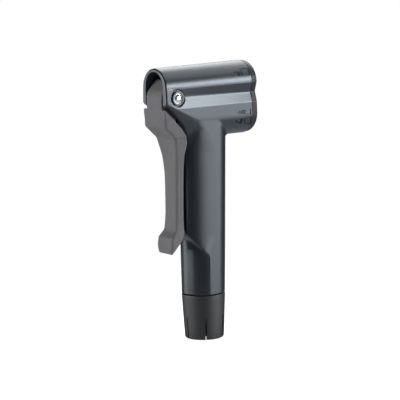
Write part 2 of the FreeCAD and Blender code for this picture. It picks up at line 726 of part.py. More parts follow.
airway_x = manifold_x + MANIFOLD_LENGTH / 2 - SHUTTLE_RADIUS - AIRWAY_OFFSET
shuttle_x = airway_x + AIRWAY_OFFSET + SHUTTLE_OFFSET
manifold_end_x = manifold_x + MANIFOLD_LENGTH
shuttle_bore = SHUTTLE_RADIUS + SLIDING_GAP
port_z = lower_z - BORE_RADIUS + FEED_PORT_DEPTH
plug_top = upper_z + math.sqrt(BORE_RADIUS ** 2 - PLUG_RADIUS ** 2) - SLIDING_GAP
plug_z = plug_top - PLUG_LENGTH
seat_distance = SHUTTLE_LENGTH / 2 + SHUTTLE_TRAVEL + SEATED_GAP


def make_manifold():
    end_x = manifold_end_x
    body = lobed(BORE_RADIUS - SEATED_GAP, CHANNEL_HALF_WIDTH - SEATED_GAP, manifold_x, end_x)
    tools = mirrored(leg_box(manifold_x - 1.0, end_x + 1.0, 2 * SLIDING_GAP))
    tools.append(rod_z(FEED_RADIUS + SEATED_GAP, lower_z - BORE_RADIUS - 1.0, port_z))
    tools.append(rod_z(AIRWAY_RADIUS, port_z - 1.0, middle_z, airway_x))
    tools.append(rod_x(AIRWAY_RADIUS, airway_x, shuttle_x, middle_z))
    tools.append(rod_z(shuttle_bore, lower_z, plug_z + 0.5, shuttle_x))
    above_z = upper_z + BORE_RADIUS + 1.0
    tools.append(rod_z(PLUG_RADIUS + SEATED_GAP / 2, plug_z, above_z, shuttle_x))
    seat_radius = SPIGOT_RADIUS + SEATED_GAP / 2
    for z in (lower_z, upper_z):
        tools.append(rod_x(SPIGOT_BORE, shuttle_x, end_x, z))
        tools.append(rod_x(seat_radius, end_x - SPIGOT_PRESS, end_x + 1.0, z))
    for tool in tools:
        body = cut(body, tool)
    return body


def make_spigot(z):
    low_x = manifold_end_x - SPIGOT_PRESS
    tube = rod_x(SPIGOT_RADIUS, low_x, manifold_end_x + SPIGOT_REACH, z)
    return tube.cut(rod_x(SPIGOT_BORE, manifold_x, cap_x, z))


def make_core_depressor():
    """Pin with three fins that centre it in the upper spigot."""
    end_x = manifold_end_x + SPIGOT_REACH
    start_x = end_x - DEPRESSOR_TAIL
    half = DEPRESSOR_FIN / 2
    shape = rod_x(DEPRESSOR_RADIUS, start_x, end_x + DEPRESSOR_REACH, upper_z)
    for turn in (90, 210, 330):
        fin = block((start_x, 0, -half), (end_x - 1.0, SPIGOT_BORE - SEATED_GAP / 2, half))
        fin.rotate(Vector(0, 0, 0), Vector(1, 0, 0), turn)
        fin.translate(Vector(0, 0, upper_z))
        shape = shape.fuse(fin)
    return shape.removeSplitter()


def make_shuttle():
    """Small piston that rests on the lower seat."""
    low = middle_z - SHUTTLE_TRAVEL - SHUTTLE_LENGTH / 2
    high = low + SHUTTLE_LENGTH
    nose = SHUTTLE_NOSE
    radius = SHUTTLE_RADIUS
    pin = turned((0, low), (radius - nose, low), (radius, low + nose), (radius, high - nose),
                 (radius - nose, high), (0, high))
    pin.translate(Vector(shuttle_x, 0, 0))
    return pin


def make_shuttle_seats():
    rings = []
    for low in (middle_z - seat_distance - SEAT_THICKNESS, middle_z + seat_distance):
        ring = rod_z(shuttle_bore - SEATED_GAP / 2, low, low + SEAT_THICKNESS, shuttle_x)
        rings.append(ring.cut(rod_z(SEAT_BORE, low - 1.0, low + SEAT_THICKNESS + 1.0, shuttle_x)))
    return Part.makeCompound(rings)


def make_manifold_plug():
    return rod_z(PLUG_RADIUS, plug_z, plug_z + PLUG_LENGTH, shuttle_x)


# Swivel in the neck

gland_z = seam_z + GLAND_DEPTH
clip_z = gland_z + GLAND_LENGTH + BODY_GAP
socket_z = clip_z + CLIP_THICKNESS + BODY_GAP
journal_top = socket_z + JOURNAL_LENGTH
socket_top = seam_z + NECK_SOCKET_DEPTH
ring_z = [socket_z + RING_DEPTH, socket_z + RING_DEPTH + RING_SPACING]
collar_top = seam_z - SEAM_GAP - BODY_GAP
collar_z = collar_top - STEM_COLLAR_THICKNESS
barb_foot = collar_z - BARB_DEPTH


def make_gland_ring():
    high = gland_z + GLAND_LENGTH
    ring = rod_z(NECK_SOCKET_RADIUS - SEATED_GAP, gland_z, high)
    return ring.cut(rod_z(STEM_RADIUS + 3 * SLIDING_GAP, gland_z - 1.0, high + 1.0))


def make_swivel_socket():
    top = socket_top + SOCKET_SPIGOT_LENGTH
    floor = journal_top + BODY_GAP
    body = fused(rod_z(NECK_SOCKET_RADIUS - SEATED_GAP, socket_z, socket_top - SEATED_GAP),
                 rod_z(SOCKET_SPIGOT_RADIUS, socket_z, top))
    return cut(body, rod_z(STEM_RADIUS + TURNING_GAP, socket_z - 1.0, floor),
               rod_z(FEED_BORE, floor - 1.0, top),
               rod_z(FEED_RADIUS + SEATED_GAP, floor + SOCKET_FLOOR, top + 1.0))


def make_feed_tube():
    low = journal_top + BODY_GAP + SOCKET_FLOOR + SEATED_GAP
    high = port_z - SEATED_GAP
    return rod_z(FEED_RADIUS, low, high).cut(rod_z(FEED_BORE, low - 1.0, high + 1.0))


def make_swivel_stem():
    """Journal with two ring grooves, clip groove, collar and hose barb, bored through."""
    groove = RING_SECTION + SEATED_GAP
    ridge = BARB_RADIUS + BARB_RIDGE
    clip_depth = STEM_RADIUS - CLIP_GROOVE_DEPTH
    ring_depth = STEM_RADIUS - 2 * RING_SECTION
    pitch = BARB_LENGTH / BARB_COUNT
    points = [(STEM_BORE, barb_foot), (BARB_RADIUS, barb_foot)]
    for index in range(BARB_COUNT):
        low = barb_foot + index * pitch
        points += [(ridge, low + pitch * 0.7), (BARB_RADIUS, low + pitch * 0.75),
                   (BARB_RADIUS, low + pitch)]
    points += [(BARB_RADIUS, collar_z), (STEM_COLLAR_RADIUS, collar_z),
               (STEM_COLLAR_RADIUS, collar_top), (STEM_RADIUS, collar_top),
               (STEM_RADIUS, clip_z), (clip_depth, clip_z),
               (clip_depth, clip_z + CLIP_THICKNESS), (STEM_RADIUS, clip_z + CLIP_THICKNESS)]
    for z in ring_z:
        points += [(STEM_RADIUS, z - groove), (ring_depth, z - groove),
                   (ring_depth, z + groove), (STEM_RADIUS, z + groove)]
    points += [(STEM_RADIUS, journal_top - 0.5), (STEM_RADIUS - 0.5, journal_top),
               (STEM_BORE, journal_top)]
    return turned(*points)


def make_stem_rings():
    middle = STEM_RADIUS - RING_SECTION + SEATED_GAP / 2
    rings = [Part.makeTorus(middle, RING_SECTION - SEATED_GAP / 4, Vector(0, 0, z)) for z in ring_z]
    return Part.makeCompound(rings)


def make_stem_clip():
    """Open ring that keeps the stem above the gland."""
    inner = STEM_RADIUS - CLIP_GROOVE_DEPTH + SEATED_GAP
    low = clip_z + SEATED_GAP
    high = clip_z + CLIP_THICKNESS - SEATED_GAP
    half = CLIP_OPENING / 2
    opening = block((0, -half, low - 1.0), (cut_reach, half, high + 1.0))
    return cut(rod_z(CLIP_RADIUS, low, high), rod_z(inner, low - 1.0, high + 1.0), opening)


def make_ferrule():
    """Crimp collar, hung on the barb's shank by its turned-in lip."""
    top = collar_z - SEATED_GAP
    low = top - FERRULE_LENGTH
    shell = rod_z(FERRULE_RADIUS, low, top)
    inside = rod_z(FERRULE_RADIUS - FERRULE_WALL, low - 1.0, top - FERRULE_WALL)
    return cut(shell, inside, rod_z(BARB_RADIUS + SEATED_GAP, low, top + 1.0))


def make_hose_sleeve():
    """Tapered sleeve, held on the stem's collar, with slots that open towards the foot."""
    top = seam_z - SEAM_GAP
    foot = sleeve_foot_radius
    room = FERRULE_RADIUS + 2 * BODY_GAP
    bore = STEM_COLLAR_RADIUS + SEATED_GAP / 2
    step_z = collar_z - SEATED_GAP
    body = turned((HOSE_RADIUS, 0), (foot - SLEEVE_EDGE, 0), (foot, SLEEVE_EDGE),
                  (sleeve_top_radius, top), (bore, top), (bore, step_z), (room, step_z - 1.0),
                  (room, HOSE_SEAT_LENGTH + 1.0), (HOSE_RADIUS, HOSE_SEAT_LENGTH))
    slots = []
    taper = (sleeve_top_radius - foot) / top
    start = foot + SLOT_HEIGHT * taper - SLOT_START_DEPTH
    for index in range(SLOT_COUNT):
        slot = slab(-SLOT_WIDTH / 2, SLOT_WIDTH / 2, (-HOSE_RADIUS + 1.0, -1.0),
                    (-HOSE_RADIUS + 0.5, 0.0), (-start, SLOT_HEIGHT), (-cut_reach, SLOT_HEIGHT),
                    (-cut_reach, -1.0))
        slot.rotate(Vector(0, 0, 0), Vector(0, 0, 1), index * 360 / SLOT_COUNT)
        slots.append(slot)
    return cut(body, *slots)


os.makedirs("parts", exist_ok=True)
save("housing", make_housing())
save("nozzle_cap", make_nozzle_cap())
save("lever", make_lever())
save("lever_pin", make_lever_pin())
save("lever_bushes", make_lever_bushes())
save("pusher", make_pusher())
save("wear_plate", make_wear_plate())
save("seal_plate", make_seal_plate())
save("seal_washers", make_seal_washers())
save("schrader_seal", make_seal(SCHRADER_SEAL_BORE, upper_z))
save("presta_seal", make_seal(PRESTA_SEAL_BORE, lower_z))
save("manifold", make_manifold())
save("schrader_spigot", make_spigot(upper_z))
save("presta_spigot", make_spigot(lower_z))
save("core_depressor", make_core_depressor())
save("shuttle", make_shuttle())
save("shuttle_seats", make_shuttle_seats())
save("manifold_plug", make_manifold_plug())
save("feed_tube", make_feed_tube())
save("swivel_socket", make_swivel_socket())
save("gland_ring", make_gland_ring())
save("swivel_stem", make_swivel_stem())
save("stem_rings", make_stem_rings())
save("stem_clip", make_stem_clip())
save("ferrule", make_ferrule())
save("hose_sleeve", make_hose_sleeve())
print("pusher travel %.3f mm, ratio %.4f mm per radian" % (throw, throw / swing))
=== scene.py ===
"""Dresses the twin-nozzle pump head: smooth moulded shapes, finishes, studio light and camera.

The shapes are worked out in millimetres from the same sizes as the solids and become metres when
their mesh is made. +Z runs up the grip, +X points to the nozzles, the lever lies on the -X side.
"""
import functools
import json
import math

import bmesh
import bpy
import numpy as np
from mathutils import Matrix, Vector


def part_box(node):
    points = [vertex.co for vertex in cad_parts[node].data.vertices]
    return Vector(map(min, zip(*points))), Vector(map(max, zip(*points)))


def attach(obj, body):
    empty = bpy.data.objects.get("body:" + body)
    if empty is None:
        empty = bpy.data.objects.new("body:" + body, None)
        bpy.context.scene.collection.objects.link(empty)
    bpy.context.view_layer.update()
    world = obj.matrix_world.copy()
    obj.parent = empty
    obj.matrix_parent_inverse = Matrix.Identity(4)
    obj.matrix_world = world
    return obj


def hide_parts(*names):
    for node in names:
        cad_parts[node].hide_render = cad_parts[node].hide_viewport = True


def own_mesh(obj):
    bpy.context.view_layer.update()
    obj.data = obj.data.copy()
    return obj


bl_info = {
    "name": "Twin-nozzle pump head",
    "version": (1, 0, 0),
    "blender": (4, 5, 0),
    "location": "View3D > Sidebar > Pump Head",
    "description": "Builds the dressed pieces of a lever-locked pump head around its solids",
    "category": "Add Mesh",
}

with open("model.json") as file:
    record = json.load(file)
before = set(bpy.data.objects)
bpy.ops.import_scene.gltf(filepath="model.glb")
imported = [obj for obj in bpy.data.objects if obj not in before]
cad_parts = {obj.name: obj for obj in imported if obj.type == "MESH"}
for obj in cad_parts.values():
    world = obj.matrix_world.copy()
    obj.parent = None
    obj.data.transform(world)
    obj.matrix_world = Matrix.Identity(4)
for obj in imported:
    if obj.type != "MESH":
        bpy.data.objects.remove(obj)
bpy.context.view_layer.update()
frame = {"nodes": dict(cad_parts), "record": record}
MM = 0.001

# Sizes shared with the solids, in millimetres; _TRUE turns a leaning side's offset to distance
SEAM_Z = 21.0
LOWER_Z = 101.8
UPPER_Z = 115.6
BELLY_Z = 106.8
ARCH_X = -23.8
CAP_X = 23.2
CAP_END_X = 26.9
FLANK = 9.6
FLANK_TRUE = 0.955
LOWER_RADIUS = 9.7
UPPER_BACK_RADIUS = 9.1
UPPER_FRONT_RADIUS = 9.75
GRIP_BACK_X = 0.35
GRIP_BACK_LEAN = 0.0349
FACE_HALF = 4.5
BEVEL_BULGE = 0.8
NECK_RADIUS = 9.85
HOLLOW_RADIUS = 6.2
HOLLOW_TOP_Z = 90.7
SOCKET_RADIUS = 7.0
SOCKET_TOP_Z = 43.0
FEED_RADIUS = 2.55
FEED_TOP_Z = 96.0
PIN_X = -17.3
PIN_Z = 111.5
PIN_HOLE_RADIUS = 2.525
PIN_SEAT_RADIUS = 3.85
PIN_SEAT_HALF = 8.5
BUSH_HOLE_RADIUS = 3.1
CAM_X = -18.401
CAM_Z = 113.073
CAM_RADIUS = 6.2
TONGUE_HALF = 5.9
MOUTH_HALF = 6.6
MOUTH_ROOF_Z = 123.05
MOUTH_FLOOR_Z = 106.52
THROAT_X = -15.7
THROAT_Z = 94.8
CAVITY_X = -9.55
BORE_RADIUS = 7.0
CHANNEL_HALF = 5.6
LEVER_FRONT_X = -24.05
ARM_BACK_X = -11.5
ARM_TRUE = 0.985
SHOULDER_Z = 106.55
TONGUE_SLANT_Z = 113.7
TAB_Z = 40.9
NOZZLES = (("schrader_seal", 3.95, UPPER_Z), ("presta_seal", 3.05, LOWER_Z))
SEAL_GUIDE = 6.8
SEAL_GRIP = 9.0

# Sum of x and z along slants at 45 degrees
SHOULDER_BACK_SUM = 82.7
TONGUE_FOOT_SUM = 81.9

# Slopes that run into an upright: its x, the corner's z, slope in degrees, lean and arc radius
FACE_LINE = (-11.0, 94.75, 45, 0.0166, 14.0)
PANEL_LINE = (-4.1, 98.6, 28, 0.0131, 5.6)
SCOOP_LINE = (-2.9, 38.9, 47, -0.017, 2.0)


def colour_prop(label, text, default):
    return bpy.props.FloatVectorProperty(
        name=label, description=text, subtype="COLOR", size=3, min=0.0, max=1.0, default=default)


def length_prop(label, text, millimetres):
    return bpy.props.FloatProperty(
        name=label, description=text, default=millimetres * MM, min=0.0, unit="LENGTH",
        precision=5)


def watts_prop(label, text, default):
    return bpy.props.FloatProperty(
        name=label, description=text, default=default, min=0.0, unit="POWER")


class HeadSizes(bpy.types.PropertyGroup):
    """Sizes of the dressed pieces that a user may change."""
    lever_edge: length_prop("Lever edge", "Rounding along the lever's front edges", 1.1)
    lever_back_edge: length_prop("Lever back edge", "Rounding along the back of the arm", 2.2)
    tongue_edge: length_prop("Tongue edge", "Rounding along the edges of the cam", 0.4)
    rim_edge: length_prop("Rim edge", "Rounding round the outside of the arch", 0.75)
    mouth_edge: length_prop("Mouth edge", "Rounding round the inside of the arch", 0.25)
    panel_edge: length_prop("Panel edge", "Rounding at the top of the side panel", 0.5)
    panel_blend: length_prop("Panel blend", "Rounding of the panel's edge lower down", 2.8)
    under_fillet: length_prop("Under fillet", "Fillet between grip and barrel", 2.6)
    lip_edge: length_prop("Lip edge", "Rounding of the grip's lip above the scoop", 1.7)
    cap_edge: length_prop("Cap edge", "Rounding of the nozzle cap's end", 1.4)
    mark_depth: length_prop("Mark depth", "Depth of the engraved valve marks", 0.3)
    mark_line: length_prop("Mark line", "Width of the engraved lines", 0.6)
    slot_count: bpy.props.IntProperty(
        name="Sleeve slots", description="Slots round the foot of the hose sleeve",
        default=6, min=1, max=12)
    slot_width: length_prop("Slot width", "Width of one slot in the hose sleeve", 0.7)
    slot_height: length_prop("Slot height", "Height that the slots reach up the sleeve", 10.5)


class HeadColours(bpy.types.PropertyGroup):
    """Colours of the finishes, as linear values."""
    housing: colour_prop("Housing", "Slate grey of the housing", (0.0125, 0.016, 0.022))
    cap: colour_prop("Cap", "Darker grey of the nozzle cap", (0.016, 0.018, 0.021))
    lever: colour_prop("Lever", "Warm grey of the lever", (0.152, 0.150, 0.155))
    sleeve: colour_prop("Sleeve", "Near black of the hose sleeve", (0.0135, 0.015, 0.0185))
    # Darker colour given to the floors and walls of the engraved marks
    mark: colour_prop("Mark", "Dark fill of the engraved marks", (0.012, 0.014, 0.018))
    floor: colour_prop("Floor", "Pale studio floor", (0.93, 0.93, 0.93))


class HeadStage(bpy.types.PropertyGroup):
    """Strengths of the studio light."""
    right_watts: watts_prop("Right softbox", "Light on the panel side", 4.8)
    low_watts: watts_prop("Low softbox", "Low light on the panel side", 1.9)
    left_watts: watts_prop("Left softbox", "Light on the lever side", 5.7)
    top_watts: watts_prop("Top softbox", "Light from above", 4.6)
    roof_watts: watts_prop("Roof softbox", "Light from overhead", 1.5)
    rear_watts: watts_prop("Rear softbox", "Light from behind on the lever side", 1.3)
    front_watts: watts_prop("Front softbox", "Weak light beside the camera", 0.42)
    world_strength: bpy.props.FloatProperty(
        name="World", description="Soft light from all round", default=0.07, min=0.0)


# Fields: distance to a shape's surface in millimetres, negative inside

def meet(a, b, radius):
    """Common part of two shapes, rounded along their edge."""
    edge = np.hypot(np.maximum(a + radius, 0.0), np.maximum(b + radius, 0.0))
    return np.minimum(np.maximum(a, b), -radius) + edge


def join(a, b, radius):
    """Two shapes together, with a fillet where they meet."""
    corner = np.hypot(np.maximum(radius - a, 0.0), np.maximum(radius - b, 0.0))
    return np.maximum(np.minimum(a, b), radius) - corner


def cut(a, b, radius):
    """First shape without the second."""
    return meet(a, -b, radius)


def between(value, low, high):
    return np.maximum(low - value, value - high)


def common(*fields):
    """Common part of shapes, with sharp edges."""
    return functools.reduce(np.maximum, fields)


def box_field(x, y, z, low, high):
    return common(*[between(value, a, b) for value, a, b in zip((x, y, z), low, high)])


def arc_points(before, corner, after, radius):
    """Points of the arc that rounds one corner of an outline."""
    c = np.array(corner, float)
    a = np.array(before, float) - c
    b = np.array(after, float) - c
    a /= np.linalg.norm(a)
    b /= np.linalg.norm(b)
    half = math.acos(float(np.clip(a @ b, -1.0, 1.0))) / 2
    middle = (a + b) / np.linalg.norm(a + b)
    centre = c + middle * radius / math.sin(half)
    start = c + a * radius / math.tan(half) - centre
    end = c + b * radius / math.tan(half) - centre
    turn = math.pi - 2 * half
    count = max(2, int(turn / 0.2) + 1)
    shares = np.linspace(0.0, 1.0, count + 1)
    blend = [math.sin((1 - t) * turn) * start + math.sin(t * turn) * end for t in shares]
    return [tuple(centre + point / math.sin(turn)) for point in blend]


def rounded_outline(corners):
    """Closed outline from (u, v, radius) corners."""
    points = []
    for index, (u, v, radius) in enumerate(corners):
        if radius == 0:
            points.append((u, v))
            continue
        before = corners[index - 1][:2]
        after = corners[(index + 1) % len(corners)][:2]
        points += arc_points(before, (u, v), after, radius)
    return points


def outline_field(u, v, points):
    """Distance to a closed outline."""
    nearest = np.full(np.broadcast(u, v).shape, 1e9)
    inside = np.zeros(nearest.shape, bool)
    for (au, av), (bu, bv) in zip(points, points[1:] + points[:1]):
        eu = bu - au
        ev = bv - av
        along = np.clip(((u - au) * eu + (v - av) * ev) / (eu * eu + ev * ev), 0.0, 1.0)
        nearest = np.minimum(nearest, (u - au - eu * along) ** 2 + (v - av - ev * along) ** 2)
        if ev != 0:
            inside ^= ((av > v) != (bv > v)) & (u < au + (v - av) * eu / ev)
    return np.where(inside, -1.0, 1.0) * np.sqrt(nearest)


def throat_field(x, z, front_x, corner_z, slope, lean, radius):
    """Side view of a slope that runs through an arc into an upright, with the material behind."""
    angle = math.radians(slope)
    nx = math.sin(angle)
    nz = math.cos(angle)
    foot_z = corner_z - radius * math.tan((math.pi / 2 - angle) / 2)
    upright = front_x - lean * np.maximum(foot_z - z, 0.0) - x
    sloped = (front_x - x) * nx + (corner_z - z) * nz
    u = x - front_x + radius
    v = z - foot_z
    arc = radius - np.hypot(u, v)
    return np.where(v < 0, upright, np.where(u * nz - v * nx < 0, sloped, arc))


def upper_radius(x):
    share = (np.clip(x, ARCH_X, CAP_X) - ARCH_X) / (CAP_X - ARCH_X)
    return UPPER_BACK_RADIUS + (UPPER_FRONT_RADIUS - UPPER_BACK_RADIUS) * share


WAIST_STATIONS = (PIN_X - 3.2, PIN_X + 3.85, CAP_X)
WAIST_DEPTHS = (0.0, 0.9, 1.45)
WAIST_HEIGHTS = (112.0, 112.0, 111.3)
WAIST_BLUNT = 0.06
PANEL_BLEND_HEIGHTS = (40.5, 48.0, 86.0, 98.0)


def flank_half_width(x, z):
    """Half width of the barrel between its lobes, with the pointed groove along its middle."""
    top = upper_radius(x)
    point_z = np.interp(x, WAIST_STATIONS, WAIST_HEIGHTS)
    depth = np.interp(x, WAIST_STATIONS, WAIST_DEPTHS)
    plain = FLANK + (top - FLANK) * (point_z - BELLY_Z) / (UPPER_Z - BELLY_Z)
    point = plain - depth
    above = point + (top - point) * (z - point_z) / (UPPER_Z - point_z)
    below = point + (FLANK - point) * (point_z - z) / (point_z - BELLY_Z)
    notch = (above + below) / 2 + np.hypot((above - below) / 2, WAIST_BLUNT)
    flat = FLANK + (top - FLANK) * (z - BELLY_Z) / (UPPER_Z - BELLY_Z)
    belly = LOWER_RADIUS + (FLANK - LOWER_RADIUS) * (z - LOWER_Z) / (BELLY_Z - LOWER_Z)
    return np.where(z < BELLY_Z, belly, np.minimum(notch, flat + WAIST_BLUNT))


def barrel_field(x, y, z):
    """Endless barrel of two lobes."""
    upper = np.hypot(y, z - UPPER_Z) - upper_radius(x)
    lower = np.hypot(y, z - LOWER_Z) - LOWER_RADIUS
    flank = (np.abs(y) - flank_half_width(x, z)) * FLANK_TRUE
    return np.where(z > UPPER_Z, upper, np.where(z < LOWER_Z, lower, flank))


def front_field(x, y, z):
    """Front of the grip: middle face, bulging bevels and the edges of the side panels."""
    face = throat_field(x, z, *FACE_LINE)
    panel = throat_field(x, z, *PANEL_LINE)
    bevel = FLANK - FACE_HALF
    across = np.clip((np.abs(y) - FACE_HALF) / bevel, 0.0, 1.0)
    share = across - BEVEL_BULGE * across * (1 - across)
    spread = (panel - face) * (1 - BEVEL_BULGE * (1 - 2 * across)) / bevel
    tilt = np.where(across > 0, np.hypot(1.0, spread), 1.0)
    return (face + (panel - face) * share) / tilt


def grip_field(x, y, z):
    """Flat sides and a round back that leans out towards the barrel."""
    centre = GRIP_BACK_X + (z - SEAM_Z) * GRIP_BACK_LEAN
    back = np.hypot(x - centre, y) - FLANK
    return np.where(x > centre, back, np.abs(y) - FLANK)


def pierced(field, axis_distance, radius, top):
    """Field joined with an upright rod that ends at a height."""
    return np.minimum(field, np.maximum(axis_distance - radius, top))


def housing_outside(x, y, z):
    """Barrel, grip, scoop and neck, all solid."""
    sizes = bpy.context.scene.head_sizes
    wide = np.abs(y)
    fillet = sizes.under_fillet / MM * np.maximum(1 - (y / FLANK) ** 2, 0.0) + 1e-6
    barrel = meet(barrel_field(x, y, z), ARCH_X - x, sizes.rim_edge / MM)
    barrel = meet(barrel, x - CAP_X, 0.2)
    grip = np.maximum(grip_field(x, y, z), z - LOWER_Z)
    body = join(barrel, grip, fillet)
    low = np.interp(z, PANEL_BLEND_HEIGHTS, (0.0, 1.0, 1.0, 0.0))
    blend = sizes.panel_edge + (sizes.panel_blend - sizes.panel_edge) * low
    body = meet(body, front_field(x, y, z), blend / MM)
    scoop = throat_field(x, z, *SCOOP_LINE)
    lip = sizes.lip_edge / MM * np.clip((7.0 - wide) / 2.8, 0.0, 1.0)
    body = meet(body, scoop, 0.2 + lip)
    neck = common(np.hypot(x, y) - NECK_RADIUS, -scoop - 0.3, wide - FLANK, x - GRIP_BACK_X)
    return meet(np.minimum(body, neck), SEAM_Z - z, 0.25)


def housing_field(x, y, z):
    """Housing with the arch's mouth, the bores and the pin's hole."""
    wide = np.abs(y)
    spring_z = MOUTH_ROOF_Z - MOUTH_HALF
    roof = np.where(z > spring_z, np.hypot(y, z - spring_z), wide) - MOUTH_HALF
    mouth = common(roof, MOUTH_FLOOR_Z - z, x - CAVITY_X)
    slot = common(wide - MOUTH_HALF, THROAT_Z - z, x - THROAT_X, z - MOUTH_FLOOR_Z - 1.0)
    mouth_edge = bpy.context.scene.head_sizes.mouth_edge / MM
    body = cut(housing_outside(x, y, z), np.minimum(mouth, slot), mouth_edge)
    lobes = np.minimum(np.hypot(y, z - LOWER_Z), np.hypot(y, z - UPPER_Z)) - BORE_RADIUS
    web = np.maximum(wide - CHANNEL_HALF, between(z, LOWER_Z, UPPER_Z))
    inside = np.maximum(np.minimum(lobes, web), CAVITY_X - x)
    axis = np.hypot(x, y)
    inside = pierced(inside, axis, HOLLOW_RADIUS, z - HOLLOW_TOP_Z)
    inside = pierced(inside, axis, SOCKET_RADIUS, z - SOCKET_TOP_Z)
    inside = pierced(inside, axis, FEED_RADIUS, z - FEED_TOP_Z)
    body = cut(body, inside, 0.2)
    round_pin = np.hypot(x - PIN_X, z - PIN_Z)
    seat = np.maximum(round_pin - PIN_SEAT_RADIUS, PIN_SEAT_HALF - wide)
    body = cut(body, seat, 0.15)
    return cut(body, round_pin - PIN_HOLE_RADIUS, 0.1)


def cap_field(x, y, z):
    """Nozzle cap with its two holes and the hooks that hold it."""
    edge = bpy.context.scene.head_sizes.cap_edge / MM
    taper = 0.5 * np.clip((x - CAP_X) / (CAP_END_X - CAP_X), 0.0, 1.0)
    plate = barrel_field(np.minimum(x, CAP_X), y, z) + taper
    plate = meet(plate, x - CAP_END_X, edge)
    plate = meet(plate, CAP_X + 0.02 - x, 0.2)
    arm = box_field(x, np.abs(y), z, (16.2, 4.2, 107.6), (CAP_X + 1.0, 5.5, 109.8))
    barb = box_field(x, np.abs(y), z, (16.8, 5.0, 107.6), (18.1, 6.1, 109.8))
    body = np.minimum(plate, np.minimum(arm, barb))
    lead = np.maximum(x - CAP_END_X + 0.7, 0.0)
    for radius, height in ((4.3, UPPER_Z), (3.4, LOWER_Z)):
        body = cut(body, np.hypot(y, z - height) - radius - lead, 0.15)
    return body


LEVER_SIDE = rounded_outline([
    (LEVER_FRONT_X, SHOULDER_Z, 0.4), (LEVER_FRONT_X, 98.6, 1.6), (-18.6, 93.3, 3.0),
    (-16.9, 85.0, 20.0), (-16.55, 75.5, 0), (-16.9, 59.0, 12.0), (-17.6, 51.4, 4.0),
    (-20.3, 48.4, 1.2), (-20.75, 44.5, 0), (-20.4, TAB_Z, 0.7), (-19.8, TAB_Z, 0.3),
    (-12.2, 49.6, 1.2), (-11.55, 76.0, 0), (ARM_BACK_X, 88.2, 0), (-11.72, 91.2, 0),
    (-12.6, 93.9, 0), (-13.9, 96.05, 0), (-15.4, 98.1, 0), (-23.2, 105.9, 0.6),
    (-23.5, SHOULDER_Z, 0),
])

# Half widths of the lever's front by height
LEVER_WIDTHS = [
    (38.0, 5.2), (41.4, 5.6), (43.5, 6.0), (46.0, 6.05), (48.5, 5.75), (51.5, 5.1), (55.0, 4.8),
    (60.0, 4.75), (71.0, 4.85), (78.0, 5.1), (83.0, 5.7), (88.0, 6.7), (92.6, 7.7), (94.3, 8.45),
    (112.0, 8.45),
]


def lever_field(x, y, z):
    """Shoulder, arm and tab with rounded edges, and the cam between them and the pin."""
    sizes = bpy.context.scene.head_sizes
    side = outline_field(x, z, LEVER_SIDE)
    width = (np.abs(y) - np.interp(z, *zip(*LEVER_WIDTHS))) * ARM_TRUE
    behind = np.maximum((x + z - SHOULDER_BACK_SUM) * math.sqrt(0.5), x - ARM_BACK_X)
    back_edge = np.interp(z, (86.0, 91.0), (sizes.lever_back_edge / MM, 0.35))
    share = np.clip((behind + 3.5) / 2.0, 0.0, 1.0)
    arm = meet(side, width, sizes.lever_edge / MM * (1 - share) + back_edge * share)
    cam = np.hypot(x - CAM_X, z - CAM_Z) - CAM_RADIUS
    neck = common(between(x, LEVER_FRONT_X, PIN_X + 0.8), between(z, 98.0, TONGUE_SLANT_Z),
                  TONGUE_FOOT_SUM - x - z)
    slant = (z - TONGUE_SLANT_Z - (x - LEVER_FRONT_X)) * math.sqrt(0.5)
    tongue = np.maximum(join(cam, neck, 0.5), meet(slant, LEVER_FRONT_X - x, 1.5))
    tongue = meet(tongue, np.abs(y) - TONGUE_HALF, sizes.tongue_edge / MM)
    body = np.minimum(arm, tongue)
    return cut(body, np.hypot(x - PIN_X, z - PIN_Z) - BUSH_HOLE_RADIUS, 0.15)


# Meshes

def stations(start, *spans):
    """Grid places from start through (end, step) spans."""
    places = [start]
    for end, step in spans:
        count = max(1, round((end - places[-1]) / step))
        places += list(np.linspace(places[-1], end, count + 1)[1:])
    return np.array(places)


def mirrored_stations(*spans):
    half = stations(0.0, *spans)
    return np.concatenate([-half[:0:-1], half])


def gradient(field, points, reach):
    slopes = [(field(*(points + step).T) - field(*(points - step).T)) / (2 * reach)
              for step in np.eye(3) * reach]
    return np.stack(slopes, axis=1)


def wrapped_mesh(field, xs, ys, zs):
    """Points and quads round a field's surface: one point in each grid cell that it crosses."""
    value = field(xs[:, None, None], ys[None, :, None], zs[None, None, :])
    inside = value < 0
    axes = (xs, ys, zs)
    cells = np.array(value.shape) - 1
    total = np.zeros((int(np.prod(cells)), 3))
    hits = np.zeros(len(total))
    faces = []
    for axis in range(3):
        crossed = np.argwhere(np.diff(inside, axis=axis))
        start = tuple(crossed.T)
        ahead = crossed.copy()
        ahead[:, axis] += 1
        a = value[start]
        b = value[tuple(ahead.T)]
        place = np.stack([axes[k][crossed[:, k]] for k in range(3)], axis=1)
        run = axes[axis][ahead[:, axis]] - axes[axis][crossed[:, axis]]
        place[:, axis] += run * a / (a - b)
        first = (axis + 1) % 3
        second = (axis + 2) % 3
        ring = []
        for back_first, back_second in ((0, 0), (1, 0), (1, 1), (0, 1)):
            cell = crossed.copy()
            cell[:, first] -= back_first
            cell[:, second] -= back_second
            flat = np.ravel_multi_index(tuple(cell.T), tuple(cells))
            ring.append(flat)
            for k in range(3):
                total[:, k] += np.bincount(flat, place[:, k], len(total))
            hits += np.bincount(flat, minlength=len(total))
        quads = np.stack(ring, axis=1)
        faces.append(np.where((a < 0)[:, None], quads[:, ::-1], quads))
    used = np.nonzero(hits)[0]
    number = np.zeros(len(total), int)
    number[used] = np.arange(len(used))
    points = total[used] / hits[used][:, None]
    for _ in range(4):
        slope = gradient(field, points, 0.02)
        steep = np.maximum((slope ** 2).sum(axis=1), 0.1)
        shift = slope * (field(*points.T) / steep)[:, None]
        points = points - np.clip(shift, -0.15, 0.15)
    return points, number[np.concatenate(faces)]


